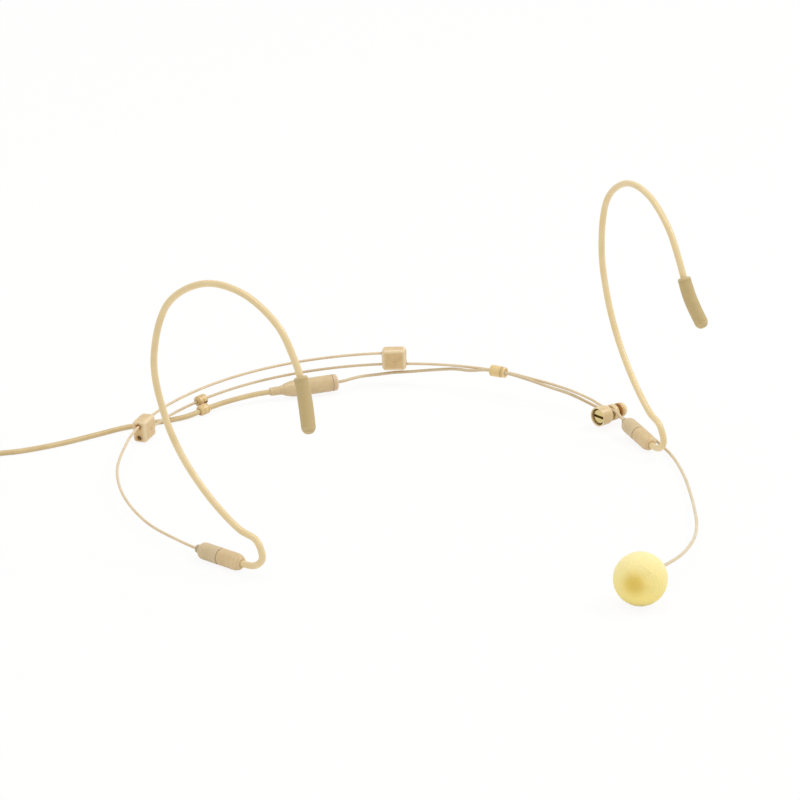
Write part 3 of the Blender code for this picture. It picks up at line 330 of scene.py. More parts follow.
def add_mesh(name: str, points: Array, faces: list, straight: Array, edge: Array, tone: Array) -> Thing:
    """Make a mesh object with the attributes that finishes read.

    Args:
        name: the object's name.
        points: vertices in the design frame, in millimetres.
        faces: vertex numbers of each face.
        straight: each vertex's place on the piece laid straight, in millimetres.
        edge: how far each vertex is on a worn edge, which is also painted lighter as a highlight, from 0 to
            1.
        tone: how dark each vertex is painted, from 0 to 1: mostly painted shade in recesses, in places a
            part's own dark colour.

    Returns:
        The object, at the origin.
    """
    mesh = bpy.data.meshes.new(name)
    mesh.from_pydata(((points - ORIGIN) * MM).tolist(), [], faces)
    layer = mesh.attributes.new("straight", "FLOAT_VECTOR", "POINT")
    layer.data.foreach_set("vector", (straight * MM).ravel())
    mesh.attributes.new("edge", "FLOAT", "POINT").data.foreach_set("value", edge)
    mesh.attributes.new("tone", "FLOAT", "POINT").data.foreach_set("value", tone)
    smooth(mesh)
    return add_object(name, mesh)


def skin(name: str, rings: Array, straight: Array, edge: Array, tone: Array, ring: bool = False) -> Thing:
    """Cover a grid of rings with faces.

    Quads join each ring to the next.  A closed outline joins the last ring to the first, and an open one
    is closed by a fan to the middle of each end ring.

    Args:
        name: the object's name.
        rings: points, by station along and angle around.
        straight: the same points on the piece laid straight.
        edge: worn edge, partly painted highlight, at each station, or at each point.
        tone: how dark it is painted at each station, or at each point: mostly painted shade in recesses.
        ring: whether the outline is closed.

    Returns:
        The object.
    """
    n, m = rings.shape[:2]
    j = np.arange(m)
    k = (j + 1) % m
    i = np.arange(n if ring else n - 1)[:, None]
    up = (i + 1) % n
    corners = np.broadcast_arrays(i * m + j, i * m + k, up * m + k, up * m + j)
    faces = np.stack(corners, axis=-1).reshape(-1, 4).tolist()
    marks = [np.broadcast_to(v.reshape(n, -1), (n, m))[..., None] for v in (edge, tone)]
    grid = np.concatenate([rings, straight, *marks], axis=-1)
    rows = grid.reshape(n * m, -1)
    if not ring:
        rows = np.concatenate([rows, grid[:1].mean(axis=1), grid[-1:].mean(axis=1)])
        first, last = np.full(m, n * m), np.full(m, n * m + 1)
        faces += np.column_stack([first, k, j]).tolist()
        faces += np.column_stack([last, (n - 1) * m + j, (n - 1) * m + k]).tolist()
    return add_mesh(name, rows[:, :3], faces, rows[:, 3:6], rows[:, 6], rows[:, 7])


def turned(
    name: str,
    stand: Stand,
    corners: list,
    step: float = 0.3,
    sides: int = 48,
    ring: bool = False,
    knurl: Knurl | None = None,
) -> Thing:
    """Turn an outline about a stand's axis.

    A point at angle a has the outline's radius, times the knurl's ripple there, in the direction
    cos(a) across + sin(a) aside, and the outline's place along the axis.

    Args:
        name: the object's name.
        stand: the axis.
        corners: the outline.
        step: longest distance between its points.
        sides: points round the axis, where there is no knurl.
        ring: whether the outline closes on itself, as a bored piece's does.
        knurl: teeth round the piece.

    Returns:
        The object.
    """
    outline = Profile.through(corners, step, ring)
    reach, along = outline.radius[:, None], outline.along[:, None]
    angle = around(knurl.teeth * knurl.sides_per_tooth if knurl else sides)
    if knurl:
        reach = reach * knurl.ripple(along, angle)
    local = np.stack(np.broadcast_arrays(reach * np.cos(angle), reach * np.sin(angle), along), axis=-1)
    return skin(name, stand.out(local), local, outline.edge, outline.tone, ring)


def swept(name: str, line: Array, corners: list, step: float, hint: Array, sides: int) -> Thing:
    """Carry a round outline along a bent line.

    Each station's ring is square to the line there, and starts from the direction nearest to the hint, so
    that the skin doesn't twist.

    Args:
        name: the object's name.
        line: the bent axis.
        corners: the outline, against length along the line.
        step: longest distance between the outline's points.
        hint: a direction that the line never runs along.
        sides: points round the line.

    Returns:
        The object.
    """
    outline = Profile.through(corners, step)
    whole = lengths(line)
    ahead = unit(read_at(outline.along, whole, np.gradient(line, whole, axis=0)))
    side = unit(hint - (ahead @ hint)[:, None] * ahead)
    other = np.cross(ahead, side)
    angle = around(sides)
    x, y = outline.radius[:, None] * np.cos(angle), outline.radius[:, None] * np.sin(angle)
    rings = read_at(outline.along, whole, line)[:, None] + x[..., None] * side[:, None]
    rings = rings + y[..., None] * other[:, None]
    straight = np.stack(np.broadcast_arrays(x, y, outline.along[:, None]), axis=-1)
    return skin(name, rings, straight, outline.edge, outline.tone)


def wire(
    name: str,
    line: Array,
    dia: float,
    step: float,
    sides: int = 16,
    hint: Array = UP,
    round_off: float = 0.12,
    cut: float = 0.0,
) -> Thing:
    """Draw a plain wire or tube with slightly rounded ends along a line.

    Args:
        name: the object's name.
        line: its bent axis.
        dia: its diameter.
        step: distance between stations.
        sides: points round it.
        hint: a direction that the line never runs along.
        round_off: fillet of its end faces.
        cut: how dark its first end is, where a cut wire shows its bare core.

    Returns:
        The object.
    """
    whole, half = lengths(line)[-1], dia / 2
    corners = [(0, 0, 0, cut), (half, 0, round_off, cut), (half, 2 * round_off), (half, whole, round_off)]
    return swept(name, line, corners + [(0, whole)], step, hint, sides)


def grid_faces(n: int, m: int) -> Array:
    """Give the quads of a grid of n by m points that are numbered row by row."""
    first = np.arange(n - 1)[:, None] * m + np.arange(m - 1)
    return np.stack([first, first + m, first + m + 1, first + 1], axis=-1).reshape(-1, 4)


def boxed(name: str, stand: Stand, size: Point, round_off: float, arc: int = 6, flat: int = 6) -> Thing:
    """Make a box with rounded edges and corners.

    Points of a grid on each side of the box are moved on to the rounded skin: the nearest point of the
    inner box, which is smaller by the fillet, plus a fillet's length towards the grid point.

    Args:
        name: the object's name.
        stand: the box's middle and directions.
        size: its sides.
        round_off: the fillet.
        arc: steps of half a rounded edge.
        flat: steps across the flat of a side.

    Returns:
        The object.
    """
    half = np.array(size) / 2
    inner = half - round_off
    rise = round_off * np.tan(np.linspace(0.0, math.pi / 4, arc + 1))[1:]
    ticks = [np.concatenate([-(c + rise)[::-1], np.linspace(-c, c, flat + 1), c + rise]) for c in inner]
    sheets, faces, start = [], [], 0
    for axis in range(3):
        u, v = (axis + 1) % 3, (axis + 2) % 3
        grid_u, grid_v = np.meshgrid(ticks[u], ticks[v], indexing="ij")
        quads = grid_faces(*grid_u.shape)
        for sign in (1, -1):
            sheet = np.empty((grid_u.size, 3))
            sheet[:, u], sheet[:, v], sheet[:, axis] = grid_u.ravel(), grid_v.ravel(), sign * half[axis]
            sheets.append(sheet)
            faces.append(quads[:, ::sign] + start)
            start += grid_u.size
    grid = np.concatenate(sheets)
    core = np.clip(grid, -inner, inner)
    local = core + round_off * unit(grid - core)
    keys, number = np.unique(np.round(local, WELD_DIGITS), axis=0, return_inverse=True)
    faces = number.reshape(-1)[np.concatenate(faces)]
    # the rounded edges are painted lighter: partly wear, partly painted highlight
    over = np.sort(np.clip(np.abs(keys) - inner, 0.0, round_off) / round_off, axis=1)
    return add_mesh(name, stand.out(keys), faces.tolist(), keys, over[:, 1], np.zeros(len(keys)))


def shaped(
    obj: Thing,
    stand: Stand,
    tools: list[Thing],
    operation: str = "DIFFERENCE",
    painted_shade: Callable[[Array], Array] | None = None,
) -> Thing:
    """Cut tools out of a straight piece, or join them to it.

    Args:
        obj: the piece.
        stand: the piece's own frame, for its straight coordinates.
        tools: closed shapes, which are removed.
        operation: DIFFERENCE or UNION.
        painted_shade: tells from places in the piece's own frame how much painted shade they take, if that is
            to change.

    Returns:
        The piece, with its new mesh.
    """
    for tool in tools:
        modifier = obj.modifiers.new("shape", "BOOLEAN")
        modifier.operation = operation
        modifier.solver = "EXACT"
        modifier.object = tool
    bpy.context.view_layer.update()
    mesh = bpy.data.meshes.new_from_object(obj.evaluated_get(bpy.context.evaluated_depsgraph_get()))
    obj.modifiers.clear()
    old, obj.data = obj.data, mesh
    bpy.data.meshes.remove(old)
    for tool in tools:
        bpy.data.objects.remove(tool, do_unlink=True)
    spots = np.empty(len(mesh.vertices) * 3)
    mesh.vertices.foreach_get("co", spots)
    local = stand.back(spots.reshape(-1, 3) / MM + ORIGIN)
    mesh.attributes["straight"].data.foreach_set("vector", (local * MM).ravel())
    # painted shade, where the caller gives it
    if painted_shade:
        mesh.attributes["tone"].data.foreach_set("value", painted_shade(local).astype(float))
    smooth(mesh)
    return obj


def rod(stand: Stand, dia: float, length: float, chamfer: float, over: float = 0.5) -> Thing:
    """Make a round drill about a stand's axis, which flares at both of its mouths and on past them.

    Args:
        stand: the drill's middle and axis.
        dia: its diameter.
        length: distance between the mouths.
        chamfer: how far each mouth flares.
        over: how far the drill runs past each mouth.

    Returns:
        The tool.
    """
    half, reach = length / 2, dia / 2
    flare = [(reach, half - chamfer), (reach + chamfer + over, half + over), (0, half + over)]
    near = [(r, -z) for r, z in flare[::-1]]
    return turned("drill", stand, near + flare, step=length, sides=32)


@dataclass(frozen=True)
class Finish:
    """A material that is made once and shared by the pieces that have it.

    Its colour drifts to a shade in soft clouds, to a worn colour on edges, which is partly painted highlight,
    and to a recess colour in grooves and about its spots, which is mostly painted shade and in places a
    part's own dark colour.  A finer grain gives it relief, and its gloss follows one of the patterns.
    """

    name: str
    slot: str
    colour: str
    shade: str
    # colour of worn edges, partly painted highlight, and of the foam's painted light on top
    worn: str
    # recess colour: mostly painted shade in grooves, bores, seams and round spots, in places a part's own
    # dark colour
    recess: str
    roughness: float = 0.4
    gloss: Span | None = (-0.05, 0.05)  # how far the roughness strays, if it does
    gloss_in_clouds: bool = False  # whether it strays with the clouds, or else with the grain
    laid: bool = True  # whether the piece has its own straight coordinates
    cloud_mm: float = 3.0
    cloud_detail: float = 4.0
    cloud_swirl: float = 0.0
    cloud_span: Span = (0.0, 1.0)
    grain_mm: float = 0.18
    grain_squeeze: Point = (1.0, 1.0, 1.0)
    cells: bool = False  # whether the grain is made of cells, or else of noise
    relief_mm: float = 0.004
    relief: float = 0.5
    # places about which painted shade darkens the colour
    spots: tuple[Point, ...] = ()
    spot_axes: Point = (1.0, 1.0, 1.0)  # the piece's own axes that count in the distance from a spot
    spot_mm: Span = (0.0, 1.0)
    spot_shade: float = 0.75
    constants: tuple = ()  # the shader's sockets that have one value all over

    def material(self) -> bpy.types.Material:
        """Give the material, and make it the first time."""
        return bpy.data.materials.get(self.name) or self.make()

    def coats(self, tree: Tree, grain: Socket) -> list[tuple[Socket, str]]:
        """Give further coats of colour, each an amount and a colour; a plain finish has none."""
        return []

    def make(self) -> bpy.types.Material:
        """Make the material's nodes.

        Returns:
            The material.
        """
        material = bpy.data.materials.new(self.name)
        material.use_nodes = True
        tree = material.node_tree
        shader = tree.nodes["Principled BSDF"]
        if self.laid:
            place = add_node(tree, "ShaderNodeAttribute", attribute_name="straight").outputs["Vector"]
        else:
            place = add_node(tree, "ShaderNodeTexCoord").outputs["Object"]
        cloud = {"Vector": place, "Scale": 1 / (self.cloud_mm * MM)}
        cloud |= {"Detail": self.cloud_detail, "Distortion": self.cloud_swirl}
        drift = {"Value": add_node(tree, "ShaderNodeTexNoise", cloud).outputs["Fac"]}
        drift |= {"From Min": self.cloud_span[0], "From Max": self.cloud_span[1]}
        clouds = add_node(tree, "ShaderNodeMapRange", drift).outputs[0]
        squeezed = add_node(tree, "ShaderNodeMapping", {"Vector": place, "Scale": self.grain_squeeze})
        fine = {"Vector": squeezed.outputs[0], "Scale": 1 / (self.grain_mm * MM)}
        if self.cells:
            grain = add_node(tree, "ShaderNodeTexVoronoi", fine).outputs["Distance"]
        else:
            grain = add_node(tree, "ShaderNodeTexNoise", fine | {"Detail": 2.0}).outputs["Fac"]
        height = {"Height": grain, "Distance": self.relief_mm * MM, "Strength": self.relief}
        tree.links.new(add_node(tree, "ShaderNodeBump", height).outputs[0], shader.inputs["Normal"])
        shader.inputs["Roughness"].default_value = self.roughness
        if self.gloss:
            low, high = (self.roughness + stray for stray in self.gloss)
            source = clouds if self.gloss_in_clouds else grain
            sheen = add_node(tree, "ShaderNodeMapRange", {"Value": source, "To Min": low, "To Max": high})
            tree.links.new(sheen.outputs[0], shader.inputs["Roughness"])
        edge = add_node(tree, "ShaderNodeAttribute", attribute_name="edge").outputs["Fac"]
        tone = add_node(tree, "ShaderNodeAttribute", attribute_name="tone").outputs["Fac"]
        # edges take the lighter colour, partly painted highlight; the tone attribute takes painted shade
        coats = [(clouds, self.shade), (edge, self.worn), (tone, self.recess)] + self.coats(tree, grain)
        # painted shade that fades away from each spot
        for spot in self.spots:
            section = add_node(tree, "ShaderNodeMapping", {"Vector": place, "Scale": self.spot_axes})
            middle = tuple(v * MM for v in spot)
            ends = {0: section.outputs[0], 1: middle}
            away = add_node(tree, "ShaderNodeVectorMath", ends, operation="DISTANCE").outputs["Value"]
            fade = {"Value": away, "From Min": self.spot_mm[0] * MM, "From Max": self.spot_mm[1] * MM}
            fade |= {"To Min": self.spot_shade, "To Max": 0.0}
            near = add_node(tree, "ShaderNodeMapRange", fade, interpolation_type="SMOOTHERSTEP")
            coats.append((near.outputs[0], self.recess))
        colour = linear(self.colour)
        for amount, code in coats:
            layers = {0: amount, 6: colour, 7: linear(code)}
            colour = add_node(tree, "ShaderNodeMix", layers, data_type="RGBA").outputs[2]
        tree.links.new(colour, shader.inputs["Base Color"])
        for socket, value in self.constants:
            shader.inputs[socket].default_value = value
        return material


@dataclass(frozen=True)
class SoftVinyl(Finish):
    """Soft PVC, drawn through a die: a silky skin with faint lines along it and a slow drift of tone."""

    roughness: float = 0.32
    gloss: Span | None = (-0.04, 0.06)
    cloud_mm: float = 6.0
    cloud_detail: float = 1.0
    cloud_span: Span = (0.35, 0.7)
    grain_mm: float = 0.3  # wider than real die lines, so that they show
    grain_squeeze: Point = (1.0, 1.0, 1 / 40)
    relief_mm: float = 0.002
    relief: float = 0.6
    constants: tuple = (("IOR", 1.53),)


@dataclass(frozen=True)
class MouldedPlastic(Finish):
    """Injection-moulded ABS or nylon: an even body with the die's fine spark grain and faint flow marks.

    Painted shade deepens its colour round each hole that runs along the piece's own X, as light trapped in
    the wall would.
    """

    cloud_swirl: float = 0.6
    cloud_span: Span = (0.35, 0.7)
    grain_mm: float = 0.18  # coarser than a real spark grain, so that it shows
    spot_axes: Point = (0.0, 1.0, 1.0)
    spot_mm: Span = (0.55, 1.35)
    constants: tuple = (("IOR", 1.52),)


@dataclass(frozen=True)
class MouldedRubber(Finish):
    """Moulded silicone rubber: matt, with a dusty bloom and a skin-like fine grain."""

    roughness: float = 0.6
    gloss: Span | None = (-0.1, 0.12)
    gloss_in_clouds: bool = True
    cloud_mm: float = 2.2
    cloud_detail: float = 5.0
    grain_mm: float = 0.14  # coarser than the real grain, so that it shows
    cells: bool = True
    relief_mm: float = 0.008
    constants: tuple = (("IOR", 1.43), ("Sheen Weight", 0.12), ("Sheen Roughness", 0.5))


@dataclass(frozen=True)
class TurnedMetal(Finish):
    """Turned or drawn metal: bright, with the tool's fine rings and a film of tarnish in patches."""

    roughness: float = 0.28
    gloss: Span | None = (-0.1, 0.15)
    gloss_in_clouds: bool = True
    cloud_mm: float = 1.8
    grain_mm: float = 0.12  # wider than a real tool mark, so that it shows
    grain_squeeze: Point = (0.05, 0.05, 1.0)
    relief_mm: float = 0.006
    constants: tuple = (("Metallic", 1.0),)


@dataclass(frozen=True)
class OpenCellFoam(Finish):
    """Open-cell polyurethane foam, ground to a ball: matt and full of fine pores.

    Painted light makes its top paler, painted shade darkens its pores, and what it covers shows through as a
    soft spot of painted shade about a point of the skin.
    """

    roughness: float = 0.95
    gloss: Span | None = None
    cloud_mm: float = 4.0
    grain_mm: float = 0.36  # larger than real pores, so that they show
    cells: bool = True
    relief_mm: float = 0.05
    relief: float = 0.45
    spot_mm: Span = (0.2, 4.8)
    spot_shade: float = 0.85
    # painted light: the foam is painted paler towards its top
    pale_mm: Span = (4.0, 12.6)  # heights between which it grows pale
    pale: float = 0.55
    # pores: painted shade, by their width and how dark they are at the middle
    pore_width: float = 0.7
    pore_shade: float = 0.16
    constants: tuple = (
        ("Specular IOR Level", 0.2),
        ("Subsurface Weight", 0.35),
        ("Subsurface Radius", (1.0, 0.8, 0.4)),
        ("Subsurface Scale", 1.2 * MM),
        ("Sheen Weight", 0.25),
        ("Sheen Roughness", 0.6),
    )

    def coats(self, tree: Tree, grain: Socket) -> list[tuple[Socket, str]]:
        """Paint light on the foam, paler with its height, and paint shade in its pores.

        Args:
            tree: the material's nodes.
            grain: distance from the middle of a pore.

        Returns:
            Amounts and colours.
        """
        place = add_node(tree, "ShaderNodeTexCoord").outputs["Object"]
        height = add_node(tree, "ShaderNodeSeparateXYZ", {0: place}).outputs["Z"]
        rise = {"Value": height, "From Min": self.pale_mm[0] * MM, "From Max": self.pale_mm[1] * MM}
        rise |= {"To Max": self.pale}
        # painted light on the top, and painted shade in the pores
        pit = {"Value": grain, "From Max": self.pore_width, "To Min": self.pore_shade, "To Max": 0.0}
        painted_top_light, painted_pore_shade = (add_node(tree, "ShaderNodeMapRange", s).outputs[0] for s in (rise, pit))
        return [(painted_top_light, self.worn), (painted_pore_shade, self.recess)]


HOOK_VINYL = SoftVinyl("soft_pvc_hook", "hook_vinyl", "EAD3A2", "E3CA96", "EEDDB8", "B49A68", 0.26)
BOOM_VINYL = SoftVinyl("soft_pvc_boom", "boom_vinyl", "DECDAC", "D5C29D", "EADDC0", "AE956C")
# the lead is the boom's vinyl painted a little darker, as painted shade
LEAD_VINYL = SoftVinyl("soft_pvc_lead", "boom_vinyl", "D6C29D", "CBB58E", "E2D2B2", "967E58")
CABLE_VINYL = SoftVinyl("soft_pvc_cable", "cable_vinyl", "D4BC8B", "C9B07F", "E2D0A8", "AF9763", 0.36)
WIRE_COAT = SoftVinyl("nylon_coated_wire", "wire_coat", "E1CBA6", "D6BF99", "E9D9BC", "5F574B", 0.34)
TIP_RUBBER = MouldedRubber("silicone_tip", "tip_rubber", "C6AF7E", "BEA774", "CEBA8C", "9F8857")
PLUG_RUBBER = MouldedRubber("rubber_boot", "plug_rubber", "CDB587", "BFA576", "DBC69C", "9A8253")
BARREL_ABS = MouldedPlastic("abs_barrel", "ferrule_plastic", "DCC194", "D3B787", "E5CEA5", "9A7E50")
SOCKET_ABS = MouldedPlastic("abs_socket", "ferrule_plastic", "D5C098", "CDB78E", "DFCDA8", "8F7C5A", 0.43)
BLOCK_NYLON = MouldedPlastic("nylon_block", "block_plastic", "DABC89", "CDAD75", "F0DEBA", "B98743", 0.24)
CLIP_NYLON = MouldedPlastic("nylon_clip", "block_plastic", "D8B97B", "CCA968", "E6CE9C", "80531A", 0.28)
BEAD_NYLON = MouldedPlastic("nylon_bead", "block_plastic", "E6CA8F", "DCBD7C", "F0DAAB", "8C5F22", 0.28)
SHELL_ABS = MouldedPlastic("abs_shell", "connector_plastic", "D2B98D", "C9AF83", "DDC8A2", "8F6C3E", 0.3)
NOSE_ACETAL = MouldedPlastic("acetal_nose", "nose_plastic", "D6B998", "CCAE89", "E2CBAE", "8F6C3E", 0.34)
CLAMP_NYLON = MouldedPlastic("nylon_clamp", "clamp_plastic", "DFC797", "D6BA87", "EAD6AE", "966E35", 0.3)
KNOB_NYLON = MouldedPlastic("nylon_knob", "knob_plastic", "E7CD99", "DDBD84", "F0DCB0", "B07A2C", 0.3)
BRASS = TurnedMetal("turned_brass", "brass", "E2CF97", "CFB878", "EDDFB4", "5E4520")
CONTACT_BRASS = replace(BRASS, name="cut_brass", laid=False)
CAPSULE_STEEL = TurnedMetal("plated_capsule", "capsule_metal", "8B8478", "776F63", "A59D8F", "3D382F", 0.35)
GRILLE_STEEL = TurnedMetal("pressed_grille", "grille_metal", "B0A58F", "988D77", "C4BAA5", "3B352B", 0.35)
PLUG_NICKEL = TurnedMetal("nickel_plate", "plug_metal", "CFCBC1", "BDB8AC", "DEDBD3", "4A463F", 0.22)
STEEL = TurnedMetal(
    "drawn_spring_steel", "spring_steel", "A39E95", "8C877E", "BDB8AE", "57534C", 0.3, laid=False
)
# its lighter colour is painted light on the top, and its recess colour is painted shade in the bore, pores
# and spot
FOAM = OpenCellFoam("polyurethane_foam", "windscreen_foam", "FDE890", "FAE386", "FBEEBC", "E2C354")


def dress(
    obj: Thing, finish: Finish, body: Body = Body.RIGHT_SIDE, nodes: tuple[str, ...] | None = None
) -> Thing:
    """Give a piece its finish and its body, and hide the CAD nodes that it stands for.

    Args:
        obj: the piece.
        finish: its material.
        body: what it rides on.
        nodes: the CAD nodes that it replaces, if not just the one that it is the fine piece of.

    Returns:
        The same piece.
    """
    obj.data.materials.clear()
    obj.data.materials.append(finish.material())
    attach(obj, body.value)
    if nodes is None:
        nodes = (obj.name.removesuffix(FINE),)
    if nodes:
        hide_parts(*nodes)
    LOG.info("%s in %s on %s", obj.name, finish.name, body.value)
    return obj


def repaint(finish: Finish, *nodes: str) -> None:
    """Give CAD nodes that stay as they are a finish.

    Args:
        finish: the material.
        *nodes: the CAD nodes.
    """
    for node in nodes:
        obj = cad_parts[node]
        if not obj.material_slots:
            obj.data.materials.append(None)
        for slot in obj.material_slots:
            slot.material = finish.material()
        LOG.info("%s in %s stays", node, finish.name)


@dataclass(frozen=True)
class Skeleton:
    """The headset's driving dimensions, and the points that its pieces share."""

    ear_half_spacing: float = 66.4
    ear_y: float = 7.0
    toe_in: float = math.radians(12.4)
    right_pitch: float = math.radians(6.0)
    ferrule_dia: float = 4.4
    ferrule_length: float = 15.1
    barrel_length: float = 7.0
    band_radius: float = 67.0
    band_centre_y: float = 41.7
    band_height: float = 5.3
    band_tilt: float = math.radians(3.2)
    wire_spacing: float = 3.3
    wire_dia: float = 0.75
    boom_dia: float = 0.85
    cable_dia: float = 1.45
    wire_gap: float = 0.25
    right_run: tuple = ((14.0, 0.09, 6.9), (8.0, 0.3, 6.6), (2.0, 0.52, 6.2), (-4.0, 0.75, 5.55))
    clamp_back: float = 23.0
    clamp_inset: float = 0.65
    clamp_lift: float = 1.4
    clamp_turn: float = math.radians(4.0)
    clamp_wire_lift: float = 1.275
    clamp_boom_drop: float = 1.325
    clamp_boom_at: float = 2.6
    connector_angle: float = 72.0
    connector_inset: float = 6.1
    connector_height: float = 2.8
    connector_rise: float = math.radians(1.4)
    connector_length: float = 19.1
    ball_at: Point = (-1.9, -68.7, 6.65)
    mic_heading: Point = (-12.9, -4.8, 0.9)

    def ear_axes(self, side: Side) -> tuple[Array, Array]:
        """Give the forward and outward directions of one hook's plane."""
        sine, cosine = math.sin(self.toe_in), math.cos(self.toe_in)
        return np.array((-side.value * sine, -cosine, 0.0)), np.array((side.value * cosine, -sine, 0.0))

    def ear_point(self, side: Side, forward: float, outward: float, up: float) -> Array:
        """Find a point from the mouth of one ferrule."""
        mouth = np.array((side.value * self.ear_half_spacing, self.ear_y, self.ferrule_dia / 2))
        return mouth + np.array((forward, outward, up)) @ np.array((*self.ear_axes(side), UP))

    def ferrule_axis(self, side: Side) -> Array:
        """Give the direction of one ferrule, from its wire to its mouth."""
        pitch = self.right_pitch if side is Side.RIGHT else 0.0
        return self.ear_axes(side)[0] * math.cos(pitch) - UP * math.sin(pitch)

    def ferrule_point(self, side: Side, back: float) -> Array:
        """Find a point on one ferrule's axis, behind its mouth."""
        return self.ear_point(side, 0.0, 0.0, 0.0) - self.ferrule_axis(side) * back

    def band_axes(self, angle: float) -> tuple[Array, Array, Array]:
        """Give directions at a point of the neckband's tilted circle.

        Args:
            angle: the point's angle in degrees.

        Returns:
            Along the circle, outwards, and up from its plane.
        """
        turn = math.radians(angle)
        across = np.array((math.cos(self.band_tilt), 0.0, math.sin(self.band_tilt)))
        back = np.array((0.0, 1.0, 0.0))
        outward = across * math.cos(turn) + back * math.sin(turn)
        normal = np.cross(across, back)
        return np.cross(outward, normal), outward, normal

    def band_point(self, angle: float, level: float = 0.0, inset: float = 0.0) -> Array:
        """Find a point by the neckband's circle.

        Args:
            angle: its angle in degrees.
            level: its height above the circle's plane.
            inset: its distance inside the circle.

        Returns:
            The point.
        """
        outward, normal = self.band_axes(angle)[1:]
        centre = np.array((0.0, self.band_centre_y, self.band_height))
        return centre + outward * (self.band_radius - inset) + normal * level

    def beside_band(self, angle: float, inset: float, height: float) -> Array:
        """Find a point beside the neckband's circle, at a height above the table."""
        turn, reach = math.radians(angle), self.band_radius - inset
        return np.array((reach * math.cos(turn), self.band_centre_y + reach * math.sin(turn), height))

    def run_point(self, end: Array, angle: float, share: float, height: float) -> Array:
        """Find a point where a wire has left the circle for its end, by its share of the way out."""
        away = math.hypot(end[0], end[1] - self.band_centre_y) - self.band_radius
        return self.beside_band(angle, -share * away, height)

    def wire_end(self, side: Side, straight: float, insert: float = 2.4) -> list[Array]:
        """Lead a wire straight into one ferrule."""
        return [self.ferrule_point(side, self.ferrule_length + away) for away in (straight, 0.0, -insert)]

    @property
    def lead_spacing(self) -> float:
        """Distance between the axes of the lower wire and the boom's lead, where they lie side by side."""
        return (self.wire_dia + self.boom_dia) / 2 + self.wire_gap

    @property
    def clamp(self) -> Stand:
        """Stand of the boom clamp: its origin is the middle of the wire's slot, its Z is the screw's axis."""
        at = self.ear_point(Side.RIGHT, -self.clamp_back, -self.clamp_inset, self.clamp_lift)
        return Stand.facing(at, (math.cos(self.clamp_turn), math.sin(self.clamp_turn), 0.0))

    @property
    def clamped_wire(self) -> Array:
        """Point where the neckband wire crosses over the clamp screw."""
        return self.clamp.out(np.array((self.clamp_wire_lift, 0.0, 0.0)))

    @property
    def clamped_boom(self) -> Array:
        """Point where the boom crosses under the clamp screw."""
        return self.clamp.out(np.array((-self.clamp_boom_drop, 0.0, self.clamp_boom_at)))

    @property
    def connector(self) -> Stand:
        """Stand the connector beside the neckband.

        Returns:
            A stand whose origin is the end at the cable, and whose Z runs to the boom.
        """
        turn = math.radians(self.connector_angle)
        flat = np.array((math.sin(turn), -math.cos(turn), 0.0))
        axis = flat * math.cos(self.connector_rise) + UP * math.sin(self.connector_rise)
        middle = self.beside_band(self.connector_angle, self.connector_inset, self.connector_height)
        return Stand.facing(middle - axis * self.connector_length / 2, axis)

    @property
    def microphone(self) -> Stand:
        """Stand of the microphone: the foam ball's middle, and the direction to its front."""
        return Stand.facing(self.ball_at, self.mic_heading)


